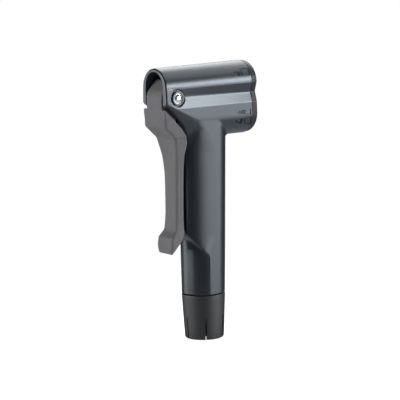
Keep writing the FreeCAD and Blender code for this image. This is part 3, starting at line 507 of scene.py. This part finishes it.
def edge_share(field, points):
    """How sharply the surface turns outwards, from 0 to 1, for wear along edges."""
    reach = 0.4
    bend = -6 * field(*points.T)
    for step in np.eye(3) * reach:
        bend += field(*(points + step).T) + field(*(points - step).T)
    return np.clip(bend / reach ** 2 * 0.8 - 0.25, 0.0, 1.0)


def link(name, data):
    obj = bpy.data.objects.new(name, data)
    bpy.context.scene.collection.objects.link(obj)
    return obj


def mesh_object(name, points, faces, material):
    """Object from points in millimetres."""
    mesh = bpy.data.meshes.new(name)
    mesh.from_pydata((np.asarray(points) * MM).tolist(), [], [list(map(int, f)) for f in faces])
    mesh.validate()
    mesh.materials.append(material)
    return link(name, mesh)


def wrapped_object(name, field, xs, ys, zs, material):
    points, faces = wrapped_mesh(field, xs, ys, zs)
    obj = mesh_object(name, points, faces, material)
    share = obj.data.attributes.new("edge", "FLOAT", "POINT")
    share.data.foreach_set("value", edge_share(field, points).astype(np.float32))
    return obj


def applied(obj):
    """Turns the evaluated object into a plain mesh without modifiers."""
    graph = bpy.context.evaluated_depsgraph_get()
    mesh = bpy.data.meshes.new_from_object(obj.evaluated_get(graph))
    obj.modifiers.clear()
    old = obj.data
    obj.data = mesh
    mesh.name = obj.name
    bpy.data.meshes.remove(old)
    return obj


def cut_by(obj, tool):
    """Takes the tool's shape out of the object, and the tool away."""
    modifier = obj.modifiers.new("Cut", "BOOLEAN")
    modifier.operation = "DIFFERENCE"
    modifier.solver = "EXACT"
    modifier.object = tool
    applied(obj)
    mesh = tool.data
    bpy.data.objects.remove(tool)
    bpy.data.meshes.remove(mesh)


def turned_object(name, profile, material, sides, axis="Z", centre=(0.0, 0.0, 0.0)):
    """Closed (radius, height) profile turned about an axis through centre."""
    angles = np.linspace(0.0, 2 * math.pi, sides, endpoint=False)
    points = np.array([(radius * math.cos(a), radius * math.sin(a), height)
                       for radius, height in profile for a in angles])
    order = {"X": [2, 0, 1], "Y": [1, 2, 0], "Z": [0, 1, 2]}[axis]
    faces = []
    for ring, (radius, _) in enumerate(profile):
        following = (ring + 1) % len(profile)
        if radius == 0 and profile[following][0] == 0:
            continue
        here = ring * sides
        there = following * sides
        for k in range(sides):
            after = (k + 1) % sides
            faces.append((here + k, here + after, there + after, there + k))
    return outward(mesh_object(name, points[:, order] + np.array(centre), faces, material))


def joined(parts):
    """One list of points and faces from several."""
    points = []
    faces = []
    for verts, polygons in parts:
        base = sum(len(p) for p in points)
        points.append(verts)
        faces += [tuple(index + base for index in polygon) for polygon in polygons]
    return np.concatenate(points), faces


def outward(obj):
    """Closes meshes at their axis and turns their faces outwards."""
    work = bmesh.new()
    work.from_mesh(obj.data)
    bmesh.ops.remove_doubles(work, verts=work.verts, dist=1e-7)
    bmesh.ops.recalc_face_normals(work, faces=work.faces)
    work.to_mesh(obj.data)
    work.free()
    return obj


def stand_in(obj, angle, body, slot, *nodes):
    obj.data.shade_smooth()
    obj.data.set_sharp_from_angle(angle=math.radians(angle))
    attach(obj, body)
    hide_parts(*nodes)


# Nodes

FLOAT = "NodeSocketFloat"
COLOUR = "NodeSocketColor"
VECTOR = "NodeSocketVector"
GEOMETRY = "NodeSocketGeometry"


def new_group(name, kind, inputs, outputs):
    """Node group with (label, kind, default) inputs, and its input and output nodes."""
    group = bpy.data.node_groups.new(name, kind)
    for label, socket_kind, default in inputs:
        socket = group.interface.new_socket(name=label, in_out="INPUT", socket_type=socket_kind)
        if default is not None:
            socket.default_value = default
    for label, socket_kind in outputs:
        group.interface.new_socket(name=label, in_out="OUTPUT", socket_type=socket_kind)
    given = group.nodes.new("NodeGroupInput")
    return group, given.outputs, group.nodes.new("NodeGroupOutput").inputs


def feed(tree, socket, value):
    """Links an input to a socket, or sets it to a plain value."""
    if isinstance(value, bpy.types.NodeSocket):
        tree.links.new(value, socket)
    elif value is not None:
        socket.default_value = value


def feed_named(tree, node, values):
    for label, value in values.items():
        feed(tree, node.inputs[label], value)


def new_node(tree, kind, *values, **settings):
    """Node with its settings, whose first inputs are fed from sockets or plain values."""
    node = tree.nodes.new(kind)
    for label, setting in settings.items():
        setattr(node, label, setting)
    for socket, value in zip(node.inputs, values):
        feed(tree, socket, value)
    return node


def math_node(tree, operation, *values, clamp=False):
    return new_node(tree, "ShaderNodeMath", *values, operation=operation,
                    use_clamp=clamp).outputs[0]


def vector_node(tree, operation, *values):
    return new_node(tree, "ShaderNodeVectorMath", *values, operation=operation).outputs


def repeat_tree():
    """Repeats the object's own mesh along a step and round the vertical axis."""
    tree = bpy.data.node_groups.get("Repeated piece")
    if tree:
        return tree
    tree, given, result = new_group(
        "Repeated piece", "GeometryNodeTree",
        [("Geometry", GEOMETRY, None), ("Count", "NodeSocketInt", 2), ("Step", VECTOR, None),
         ("Turn", FLOAT, 0.0), ("Material", "NodeSocketMaterial", None)],
        [("Geometry", GEOMETRY)])
    index = new_node(tree, "GeometryNodeInputIndex").outputs["Index"]
    place = vector_node(tree, "SCALE", given["Step"], None, None, index)["Vector"]
    points = new_node(tree, "GeometryNodePoints", given["Count"], place)
    turn = math_node(tree, "MULTIPLY", index, given["Turn"])
    angles = new_node(tree, "ShaderNodeCombineXYZ", None, None, turn)
    copies = new_node(tree, "GeometryNodeInstanceOnPoints", points.outputs["Points"])
    feed_named(tree, copies, {"Instance": given["Geometry"], "Rotation": angles.outputs[0]})
    real = new_node(tree, "GeometryNodeRealizeInstances", copies.outputs["Instances"])
    paint = new_node(tree, "GeometryNodeSetMaterial", real.outputs["Geometry"])
    feed_named(tree, paint, {"Material": given["Material"]})
    feed(tree, result["Geometry"], paint.outputs["Geometry"])
    return tree


def repeated(obj, count, material, step=(0.0, 0.0, 0.0), turn=0.0):
    """Object repeated by the tree and made a plain mesh; step in millimetres, turn in degrees."""
    tree = repeat_tree()
    modifier = obj.modifiers.new("Repeat", "NODES")
    modifier.node_group = tree
    values = {"Count": count, "Step": [s * MM for s in step], "Turn": math.radians(turn),
              "Material": material}
    for item in tree.interface.items_tree:
        if item.item_type == "SOCKET" and item.name in values:
            modifier[item.identifier] = values[item.name]
    return applied(obj)


# Finishes

def noise_node(tree, where, scale, detail):
    node = new_node(tree, "ShaderNodeTexNoise")
    feed_named(tree, node, {"Vector": where, "Scale": scale, "Detail": detail})
    return node.outputs["Fac"]


def mix_colours(tree, share, a, b):
    node = new_node(tree, "ShaderNodeMix", share, data_type="RGBA")
    feed(tree, node.inputs[6], a)
    feed(tree, node.inputs[7], b)
    return node.outputs[2]


def map_range(tree, value, start, end, low=0.0, high=1.0, blend="SMOOTHSTEP"):
    node = new_node(tree, "ShaderNodeMapRange", value, start, end, low, high,
                    interpolation_type=blend)
    return node.outputs["Result"]


def object_place(tree):
    return new_node(tree, "ShaderNodeTexCoord").outputs["Object"]


def spark_grain():
    """Fine grain of a spark-eroded mould, and broad waves of the moulded skin."""
    group = bpy.data.node_groups.get("Spark grain")
    if group:
        return group
    group, given, result = new_group(
        "Spark grain", "ShaderNodeTree",
        [("Place", VECTOR, (0.0, 0.0, 0.0)), ("Grain", FLOAT, 4000.0), ("Wave", FLOAT, 70.0)],
        [("Height", FLOAT)])
    fine = noise_node(group, given["Place"], given["Grain"], 3.0)
    wave = noise_node(group, given["Place"], given["Wave"], 2.0)
    height = math_node(group, "ADD", fine, math_node(group, "MULTIPLY", wave, 1.5))
    feed(group, result["Height"], height)
    return group


def handling_wear():
    """Colour and roughness of a handled surface: rubbed edges, faint patches and specks."""
    group = bpy.data.node_groups.get("Handling wear")
    if group:
        return group
    group, given, result = new_group(
        "Handling wear", "ShaderNodeTree",
        [("Place", VECTOR, (0.0, 0.0, 0.0)), ("Colour", COLOUR, (0.1, 0.1, 0.1, 1.0)),
         ("Rubbed", COLOUR, (0.2, 0.2, 0.2, 1.0)), ("Edge", FLOAT, 0.0),
         ("Amount", FLOAT, 0.5), ("Roughness", FLOAT, 0.45)],
        [("Colour", COLOUR), ("Roughness", FLOAT)])
    place = given["Place"]
    broken = noise_node(group, place, 900.0, 4.0)
    broken = math_node(group, "MULTIPLY_ADD", broken, 2.2, -0.7, clamp=True)
    rub = math_node(group, "MULTIPLY", given["Edge"], broken)
    rub = math_node(group, "MULTIPLY", rub, given["Amount"], clamp=True)
    shade = math_node(group, "MULTIPLY_ADD", noise_node(group, place, 130.0, 3.0), 0.22, 0.89)
    toned = vector_node(group, "SCALE", given["Colour"], None, None, shade)["Vector"]
    specks = noise_node(group, place, 2600.0, 2.0)
    rough = math_node(group, "MULTIPLY_ADD", specks, 0.12, given["Roughness"])
    rough = math_node(group, "SUBTRACT", rough, math_node(group, "MULTIPLY", rub, 0.12))
    feed(group, result["Colour"], mix_colours(group, rub, toned, given["Rubbed"]))
    feed(group, result["Roughness"], rough)
    return group


def fresh_material(name):
    material = bpy.data.materials.new(name)
    material.use_nodes = True
    return material, material.node_tree, material.node_tree.nodes["Principled BSDF"]


def placed_group(tree, group, values):
    node = new_node(tree, "ShaderNodeGroup", node_tree=group)
    feed_named(tree, node, values)
    return node.outputs


def set_finish(tree, shader, colour, roughness, height, strength, depth):
    """Feeds the shader's colour, roughness and normal; depth in millimetres."""
    bump = new_node(tree, "ShaderNodeBump")
    feed_named(tree, bump, {"Strength": strength, "Distance": depth * MM, "Height": height})
    feed_named(tree, shader, {"Base Color": colour, "Roughness": roughness,
                              "Normal": bump.outputs["Normal"]})


def moulded(name, colour, lighter, roughness, grain, depth, specular=0.5, tint=(1.0, 1.0, 1.0)):
    """Moulded plastic or rubber with grain, patches and edges that are rubbed lighter."""
    material, tree, shader = fresh_material(name)
    place = object_place(tree)
    edge = new_node(tree, "ShaderNodeAttribute", attribute_name="edge").outputs["Fac"]
    rubbed = [min(1.0, channel * lighter) for channel in colour]
    surface = placed_group(tree, handling_wear(), {
        "Colour": (*colour, 1.0), "Rubbed": (*rubbed, 1.0), "Roughness": roughness,
        "Place": place, "Edge": edge})
    skin = placed_group(tree, spark_grain(), {"Grain": grain, "Place": place})
    set_finish(tree, shader, surface["Colour"], surface["Roughness"], skin["Height"], 0.6, depth)
    feed_named(tree, shader, {"Specular IOR Level": specular, "Specular Tint": (*tint, 1.0)})
    return material


def turned_metal(name, colour, dull, roughness, lines):
    """Metal with fine tool marks, bright and dull by turns."""
    material, tree, shader = fresh_material(name)
    place = object_place(tree)
    stretch = new_node(tree, "ShaderNodeMapping", place)
    feed_named(tree, stretch, {"Scale": lines})
    marks = noise_node(tree, stretch.outputs["Vector"], 1.0, 3.0)
    surface = placed_group(tree, handling_wear(), {
        "Colour": (*colour, 1.0), "Roughness": roughness, "Place": place})
    tint = mix_colours(tree, marks, surface["Colour"], (*dull, 1.0))
    set_finish(tree, shader, tint, surface["Roughness"], marks, 0.25, 0.02)
    feed_named(tree, shader, {"Metallic": 1.0})
    return material


def rivet_metal():
    """Steel whose polished dome stands in a dull rim."""
    material, tree, shader = fresh_material("rivet steel")
    place = object_place(tree)
    around = vector_node(tree, "MULTIPLY_ADD", place, (1.0, 0.0, 1.0),
                         (-PIN_X * MM, 0.0, -PIN_Z * MM))["Vector"]
    radius = vector_node(tree, "LENGTH", around)["Value"]
    rim = map_range(tree, radius, 2.0 * MM, 2.2 * MM, blend="LINEAR")
    marks = noise_node(tree, place, 2500.0, 3.0)
    colour = mix_colours(tree, rim, (0.86, 0.87, 0.89, 1.0), (0.15, 0.155, 0.17, 1.0))
    rough = math_node(tree, "MULTIPLY_ADD", rim, 0.26, 0.16)
    rough = math_node(tree, "ADD", rough, math_node(tree, "MULTIPLY", marks, 0.06))
    feed_named(tree, shader, {"Base Color": colour, "Roughness": rough, "Metallic": 1.0})
    return material


# Valve marks

def flank_rows(points, depth):
    """Rows on the engraved floor and outside the barrel's near flank, at (x, z) points."""
    x, z = np.array(points).T
    upper = np.sqrt(np.maximum(upper_radius(x) ** 2 - (z - UPPER_Z) ** 2, 0.0))
    lower = np.sqrt(np.maximum(LOWER_RADIUS ** 2 - (z - LOWER_Z) ** 2, 0.0))
    flank = flank_half_width(x, z)
    outline = np.where(z > UPPER_Z, upper, np.where(z < LOWER_Z, lower, flank))
    return [np.stack([x, -y, z], axis=1) for y in (outline - depth, outline + 1.0)]


def stroke(points, line, depth, closed=False):
    """Closed strip along (x, z) points, from the engraved floor to outside the barrel."""
    path = np.array(points, float)
    fine = []
    count = len(path)
    for k in range(count if closed else count - 1):
        a = path[k]
        b = path[(k + 1) % count]
        parts = max(1, int(np.linalg.norm(b - a) / 0.6))
        fine += [a + (b - a) * t / parts for t in range(parts)]
    if not closed:
        fine.append(path[-1])
    fine = np.array(fine)
    after = np.roll(fine, -1, axis=0) - fine
    before = fine - np.roll(fine, 1, axis=0)
    if not closed:
        after[-1] = before[-1]
        before[0] = after[0]
    normals = []
    for way in (after, before):
        way = way / np.linalg.norm(way, axis=1)[:, None]
        normals.append(np.stack([-way[:, 1], way[:, 0]], axis=1))
    mitre = normals[0] + normals[1]
    mitre /= (mitre * normals[0]).sum(axis=1)[:, None]
    left_floor, left_top = flank_rows(fine + mitre * line / 2, depth)
    right_floor, right_top = flank_rows(fine - mitre * line / 2, depth)
    total = len(fine)
    faces = []
    for k in range(total if closed else total - 1):
        n = (k + 1) % total
        for r in range(4):
            s = (r + 1) % 4
            faces.append((r * total + k, r * total + n, s * total + n, s * total + k))
    if not closed:
        faces.append((0, total, 2 * total, 3 * total))
        faces.append((4 * total - 1, 3 * total - 1, 2 * total - 1, total - 1))
    return np.concatenate([left_floor, left_top, right_top, right_floor]), faces


# Strokes of the valve marks: (x, z) points, width or None for the mark line, closed or not
MARK_STROKES = (
    ([(18.3, 119.2), (22.4, 119.2), (22.4, 121.7), (18.3, 121.7)], None, True),
    ([(14.2, 120.6), (15.2, 120.6)], 0.8, False),
    ([(19.2, 102.0), (19.2, 101.2), (22.0, 101.2), (22.0, 103.5), (19.2, 103.5),
      (19.2, 102.6)], None, False),
    ([(14.5, 102.6), (15.0, 102.6)], 0.5, False),
    ([(15.9, 101.8), (15.9, 103.3)], 0.7, False),
    ([(18.7, 99.6), (22.3, 100.0), (22.5, 96.9), (18.9, 97.4)], None, True),
    ([(14.5, 97.9), (14.5, 99.2)], 0.5, False),
    ([(15.3, 97.7), (16.4, 97.9)], 0.5, False),
)

# Ribs of the marks' knurled nuts: x of the first, its ends in z, count and pitch
MARK_RIBS = (
    (16.2, 119.1, 121.0, 2, 0.8), (17.1, 101.8, 103.4, 3, 0.7), (16.8, 97.3, 99.7, 2, 0.65),
)
RIB_WIDTH = 0.48


def valve_marks(sizes, material):
    """Tools of the three engraved valve marks beside the nozzles."""
    line = sizes.mark_line / MM
    depth = sizes.mark_depth / MM
    points, faces = joined([stroke(path, width or line, depth, closed)
                            for path, width, closed in MARK_STROKES])
    tools = [outward(mesh_object("valve_marks", points, faces, material))]
    for x, low, high, count, pitch in MARK_RIBS:
        points, faces = stroke([(x, low), (x, high)], RIB_WIDTH, depth)
        rib = outward(mesh_object("knurl", points, faces, material))
        tools.append(repeated(rib, count, material, step=(pitch, 0.0, 0.0)))
    return tools


# Operators

class HeadOperator:
    """What all building steps share: they build from the scene's sizes and colours."""
    bl_options = {"REGISTER", "UNDO"}

    def execute(self, context):
        self.build(context.scene.head_sizes, context.scene.head_colours)
        return {"FINISHED"}


class DressHousing(HeadOperator, bpy.types.Operator):
    """Builds the moulded housing with its grooves, scoop, bores and engraved marks"""
    bl_idname = "pump_head.housing"
    bl_label = "Housing"

    def build(self, sizes, colours):
        plastic = moulded("housing plastic", colours.housing, 1.9, 0.25, 5200.0, 0.012,
                          specular=1.0, tint=(0.82, 0.91, 1.0))
        # The floors and walls of the engraved marks get a darker, duller finish than the housing
        mark_darker = moulded("mark fill", colours.mark, 1.5, 0.6, 5200.0, 0.01, specular=0.15)
        xs = stations(-24.1, (-13.0, 0.35), (20.0, 0.62), (22.6, 0.4), (23.5, 0.15))
        ys = mirrored_stations((6.2, 0.62), (9.2, 0.33), (10.2, 0.2))
        zs = stations(20.7, (21.9, 0.15), (36.0, 0.75), (52.0, 0.4), (88.0, 0.9), (104.0, 0.5),
                      (126.0, 0.34))
        obj = wrapped_object("housing_shell", housing_field, xs, ys, zs, plastic)
        for tool in valve_marks(sizes, mark_darker):
            cut_by(obj, tool)
        stand_in(obj, 42, "head", "housing_plastic", "housing")


class DressNozzleCap(HeadOperator, bpy.types.Operator):
    """Builds the darker cap that closes the barrel round the two nozzle holes"""
    bl_idname = "pump_head.nozzle_cap"
    bl_label = "Nozzle cap"

    def build(self, sizes, colours):
        plastic = moulded("cap plastic", colours.cap, 2.0, 0.36, 5200.0, 0.014, specular=0.36)
        xs = stations(15.9, (22.9, 0.5), (27.2, 0.22))
        ys = mirrored_stations((10.2, 0.34))
        zs = stations(91.6, (125.9, 0.34))
        obj = wrapped_object("nozzle_cap_shell", cap_field, xs, ys, zs, plastic)
        stand_in(obj, 42, "head", "cap_plastic", "nozzle_cap")


class DressLever(HeadOperator, bpy.types.Operator):
    """Builds the cam lever with its shoulder, slim arm and finger tab"""
    bl_idname = "pump_head.lever"
    bl_label = "Lever"

    def build(self, sizes, colours):
        plastic = moulded("lever plastic", colours.lever, 1.5, 0.5, 3800.0, 0.02, specular=0.2)
        xs = stations(-24.4, (-10.9, 0.3))
        ys = mirrored_stations((8.8, 0.33))
        zs = stations(40.5, (52.0, 0.34), (90.0, 0.5), (119.7, 0.32))
        obj = wrapped_object("lever_body", lever_field, xs, ys, zs, plastic)
        stand_in(obj, 42, "lever", "lever_plastic", "lever")


class DressLeverPin(HeadOperator, bpy.types.Operator):
    """Builds the rivet that the lever turns on, a dome in a flat rim at each end"""
    bl_idname = "pump_head.lever_pin"
    bl_label = "Lever pin"

    def build(self, sizes, colours):
        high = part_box("lever_pin")[1].y / MM
        rim = high - 0.25
        ball = 3.63
        dome = [(ball * math.sin(t), high - ball * (1 - math.cos(t)))
                for t in np.linspace(0.0, math.asin(2.0 / ball), 9)]
        side = [(2.1, rim - 0.35), (2.25, rim - 0.3), (2.25, rim - 0.1), (2.35, rim), (2.9, rim),
                (3.04, rim - 0.06), (3.1, rim - 0.2), (3.1, rim - 1.2), (2.5, rim - 1.2)]
        half = dome + side
        profile = half + [(radius, -height) for radius, height in reversed(half)]
        obj = turned_object("lever_rivet", profile, rivet_metal(), 72, "Y", (PIN_X, 0.0, PIN_Z))
        stand_in(obj, 50, "head", "steel", "lever_pin")


class DressHoseSleeve(HeadOperator, bpy.types.Operator):
    """Builds the tapered hose sleeve and cuts its repeated slots"""
    bl_idname = "pump_head.hose_sleeve"
    bl_label = "Hose sleeve"

    def build(self, sizes, colours):
        rubber = moulded("sleeve rubber", colours.sleeve, 2.0, 0.4, 3000.0, 0.02, specular=0.85)
        top = SEAM_Z - 0.4
        profile = rounded_outline([
            (5.0, 0.0, 0.3), (8.85, 0.0, 0.9), (9.25, 6.2, 0), (9.54, 11.9, 0),
            (9.8, 17.5, 0), (9.98, top, 0.25), (7.475, top, 0.1), (7.475, 17.5, 0),
            (6.2, 16.5, 0), (6.2, 8.0, 0), (5.0, 7.0, 0)])
        obj = turned_object("sleeve_shell", profile, rubber, 120)
        half = sizes.slot_width / MM / 2
        height = sizes.slot_height / MM
        wedge = [(-3.9, -1.0), (-4.5, 0.0), (-9.2, height), (-12.0, height), (-12.0, -1.0)]
        points = [(x, side * half, z) for side in (-1, 1) for x, z in wedge]
        faces = [(0, 1, 2, 3, 4), (9, 8, 7, 6, 5)]
        faces += [(k, (k + 1) % 5, (k + 1) % 5 + 5, k + 5) for k in range(5)]
        slot = outward(mesh_object("slot", points, faces, rubber))
        repeated(slot, sizes.slot_count, rubber, turn=360.0 / sizes.slot_count)
        cut_by(obj, slot)
        stand_in(obj, 35, "hose_end", "sleeve_rubber", "hose_sleeve")


class DressSeals(HeadOperator, bpy.types.Operator):
    """Builds the two rubber seals, each with a mesh of its own; the real seals shorten as the
    lever is locked
    """
    bl_idname = "pump_head.seals"
    bl_label = "Seals"

    def build(self, sizes, colours):
        rubber = moulded("seal rubber", (0.022, 0.022, 0.024), 2.2, 0.55, 3000.0, 0.015)
        for node, bore, height in NOZZLES:
            low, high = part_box(node)
            start = low.x / MM
            end = high.x / MM
            profile = rounded_outline([
                (bore, end, 0.4), (bore, end - SEAL_GUIDE, 0.05),
                (bore - 0.3, end - SEAL_GUIDE - 0.1, 0.05), (bore - 0.3, end - SEAL_GRIP, 0.1),
                (2.4, end - SEAL_GRIP, 0.1), (2.4, start, 0.15), (6.7, start, 0.3),
                (6.7, end, 0.3)])
            obj = turned_object(node + "_gland", profile, rubber, 72, "X", (0.0, 0.0, height))
            stand_in(obj, 40, "head", "seal_rubber", node)
            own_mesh(obj)


class DressStemRings(HeadOperator, bpy.types.Operator):
    """Builds the rubber rings of the hose stem, one repeated along it"""
    bl_idname = "pump_head.stem_rings"
    bl_label = "Stem rings"

    def build(self, sizes, colours):
        rubber = bpy.data.materials["seal rubber"]
        low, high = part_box("stem_rings")
        section = 0.48
        angles = np.linspace(0.0, 2 * math.pi, 16, endpoint=False)
        middle = high.x / MM - section
        profile = [(middle + section * math.cos(a), section * math.sin(a)) for a in angles]
        first = low.z / MM + section
        obj = turned_object("stem_o_rings", profile, rubber, 64, "Z", (0.0, 0.0, first))
        repeated(obj, 2, rubber, step=(0.0, 0.0, (high.z - low.z) / MM - 2 * section))
        stand_in(obj, 60, "hose_end", "seal_rubber", "stem_rings")


class DressCarriedParts(HeadOperator, bpy.types.Operator):
    """Gives the solids that are kept as they are their own finishes"""
    bl_idname = "pump_head.carried_parts"
    bl_label = "Inner parts"

    def build(self, sizes, colours):
        by_slot = {
            "inner_plastic": moulded(
                "inner nylon", (0.040, 0.041, 0.045), 2.0, 0.5, 3500.0, 0.015),
            "bearing_plastic": moulded(
                "bearing acetal", (0.80, 0.79, 0.74), 1.08, 0.4, 3500.0, 0.006),
            "steel": turned_metal(
                "plate steel", (0.62, 0.63, 0.65), (0.46, 0.47, 0.49), 0.28,
                (4000.0, 200.0, 200.0)),
            "brass": turned_metal(
                "turned brass", (0.75, 0.58, 0.29), (0.58, 0.43, 0.2), 0.26,
                (200.0, 200.0, 5000.0)),
            "crimp_aluminium": turned_metal(
                "crimp aluminium", (0.72, 0.72, 0.74), (0.56, 0.56, 0.58), 0.34,
                (300.0, 300.0, 3000.0)),
            "seal_rubber": bpy.data.materials["seal rubber"],
        }
        for row in frame["record"]["subparts"]:
            obj = frame["nodes"][row["node"]]
            if obj.hide_render:
                continue
            obj.data.materials.clear()
            obj.data.materials.append(by_slot[row["material_slot"]])


# Stage

CAMERA_AZIMUTH = -35.161
CAMERA_ELEVATION = 8.663
CAMERA_ROLL = math.radians(-1.556)
CAMERA_DISTANCE = 933.231
CAMERA_TARGET = np.array([-0.48, 0.0, 63.277])
PIXELS_PER_MM = 2.204
SENSOR_MM = 36.0
FRAME_PIXELS = 400

# Softboxes: name, azimuth and elevation in degrees, width and height in metres
SOFTBOXES = (
    ("right", 40, 14, 0.55, 0.26), ("low", 40, -8, 0.95, 0.28), ("left", -107, 14, 0.6, 0.75),
    ("top", 128, 38, 0.7, 0.6), ("roof", 68, 55, 0.6, 0.55), ("rear", -140, -2, 0.42, 0.5),
    ("front", 14, -2, 0.35, 0.6),
)
SOFTBOX_DISTANCE = 0.9
SOFTBOX_TARGET = np.array([0.0, 0.0, 0.07])
FLOOR_RADIUS = 250.0
FLOOR_SIDES = 96


def facing(azimuth, elevation):
    """Right, up and back of what looks at the object; azimuth from the -Y side towards +X."""
    a = math.radians(azimuth)
    e = math.radians(elevation)
    back = np.array([math.sin(a) * math.cos(e), -math.cos(a) * math.cos(e), math.sin(e)])
    right = np.array([math.cos(a), math.sin(a), 0.0])
    return right, np.cross(back, right), back


def placed(obj, axes, place):
    """Gives an object its axes and its place in metres."""
    rows = [(*row, p) for row, p in zip(zip(*axes), place)]
    obj.matrix_world = Matrix(rows + [(0.0, 0.0, 0.0, 1.0)])
    return obj


def set_camera():
    level, rise, back = facing(CAMERA_AZIMUTH, CAMERA_ELEVATION)
    right = math.cos(CAMERA_ROLL) * level + math.sin(CAMERA_ROLL) * rise
    up = math.cos(CAMERA_ROLL) * rise - math.sin(CAMERA_ROLL) * level
    camera = bpy.data.cameras.new("photo_camera")
    camera.sensor_width = SENSOR_MM
    camera.lens = SENSOR_MM * CAMERA_DISTANCE / (FRAME_PIXELS / PIXELS_PER_MM)
    camera.clip_start = 0.05
    eye = (CAMERA_TARGET + back * CAMERA_DISTANCE) * MM
    bpy.context.scene.camera = placed(link("photo_camera", camera), (right, up, back), eye)


def softbox(name, azimuth, elevation, width, height, watts):
    """Area lamp that faces the object."""
    lamp = bpy.data.lights.new(name, "AREA")
    lamp.shape = "RECTANGLE"
    lamp.size = width
    lamp.size_y = height
    lamp.energy = watts
    axes = facing(azimuth, elevation)
    placed(link(name, lamp), axes, SOFTBOX_TARGET + axes[2] * SOFTBOX_DISTANCE)


def mixed(tree, share, first, second):
    return new_node(tree, "ShaderNodeMixShader", share, first, second).outputs["Shader"]


def set_world(strength):
    """White for the camera; for the object a dim room over a paler floor."""
    world = bpy.data.worlds.new("studio")
    world.use_nodes = True
    tree = world.node_tree
    tree.nodes.clear()
    way = new_node(tree, "ShaderNodeTexCoord").outputs["Generated"]
    rise = new_node(tree, "ShaderNodeSeparateXYZ", way).outputs["Z"]
    glow = map_range(tree, rise, -0.2, -0.6, strength, strength * 8)
    room = new_node(tree, "ShaderNodeBackground", (0.95, 0.97, 1.0, 1.0), glow)
    seen = new_node(tree, "ShaderNodeBackground", (1.0, 1.0, 1.0, 1.0))
    path = new_node(tree, "ShaderNodeLightPath")
    both = mixed(tree, path.outputs["Is Camera Ray"], room.outputs[0], seen.outputs[0])
    new_node(tree, "ShaderNodeOutputWorld", both)
    bpy.context.scene.world = world


def floor_material(colour):
    """Pale floor that fades out away from the object and that gloss does not mirror."""
    material, tree, shader = fresh_material("studio floor")
    path = new_node(tree, "ShaderNodeLightPath").outputs
    glow = math_node(tree, "MULTIPLY", path["Is Camera Ray"], 0.72)
    feed_named(tree, shader, {"Base Color": (*colour, 1.0), "Roughness": 0.9,
                              "Emission Color": (1.0, 1.0, 1.0, 1.0), "Emission Strength": glow})
    far = vector_node(tree, "LENGTH", object_place(tree))["Value"]
    clear = new_node(tree, "ShaderNodeBsdfTransparent").outputs["BSDF"]
    faded = mixed(tree, map_range(tree, far, 0.03, 0.22), shader.outputs["BSDF"], clear)
    seen = mixed(tree, path["Is Glossy Ray"], faded, clear)
    feed_named(tree, tree.nodes["Material Output"], {"Surface": seen})
    return material


class SetStage(HeadOperator, bpy.types.Operator):
    """Sets the floor, the studio light and the camera"""
    bl_idname = "pump_head.stage"
    bl_label = "Stage"

    def build(self, sizes, colours):
        scene = bpy.context.scene
        angles = np.linspace(0.0, 2 * math.pi, FLOOR_SIDES, endpoint=False)
        rim = [(FLOOR_RADIUS * math.cos(a), FLOOR_RADIUS * math.sin(a), -0.02) for a in angles]
        face = tuple(range(FLOOR_SIDES))
        floor = mesh_object("floor", rim, [face], floor_material(colours.floor))
        for name, *layout in SOFTBOXES:
            softbox(name + " softbox", *layout, getattr(scene.head_stage, name + "_watts"))
        set_world(scene.head_stage.world_strength)
        scene.view_settings.view_transform = "Standard"
        set_camera()


class HeadPanel(bpy.types.Panel):
    """Lists the sizes, colours and building steps of the pump head"""
    bl_idname = "VIEW3D_PT_pump_head"
    bl_label = "Pump Head"
    bl_space_type = "VIEW_3D"
    bl_region_type = "UI"
    bl_category = "Pump Head"

    def draw(self, context):
        for setting in SETTINGS:
            group = getattr(context.scene, setting)
            column = self.layout.column()
            for label in group.__annotations__:
                column.prop(group, label)
        for step in STEPS:
            self.layout.operator(step.bl_idname)


STEPS = (DressHousing, DressNozzleCap, DressLever, DressLeverPin, DressHoseSleeve, DressSeals,
         DressStemRings, DressCarriedParts, SetStage)
SETTINGS = {"head_sizes": HeadSizes, "head_colours": HeadColours, "head_stage": HeadStage}
CLASSES = (*SETTINGS.values(), *STEPS, HeadPanel)


def register():
    for cls in CLASSES:
        bpy.utils.register_class(cls)
    for setting, group in SETTINGS.items():
        setattr(bpy.types.Scene, setting, bpy.props.PointerProperty(type=group))


def unregister():
    for setting in SETTINGS:
        delattr(bpy.types.Scene, setting)
    for cls in reversed(CLASSES):
        bpy.utils.unregister_class(cls)


def plain(bounds):
    return [[float(value) for value in corner] for corner in bounds]


def main():
    register()
    bpy.ops.pump_head.housing()
    bpy.ops.pump_head.nozzle_cap()
    bpy.ops.pump_head.lever()
    bpy.ops.pump_head.lever_pin()
    bpy.ops.pump_head.hose_sleeve()
    bpy.ops.pump_head.seals()
    bpy.ops.pump_head.stem_rings()
    bpy.ops.pump_head.carried_parts()
    bpy.ops.pump_head.stage()


if __name__ == "__main__":
    main()
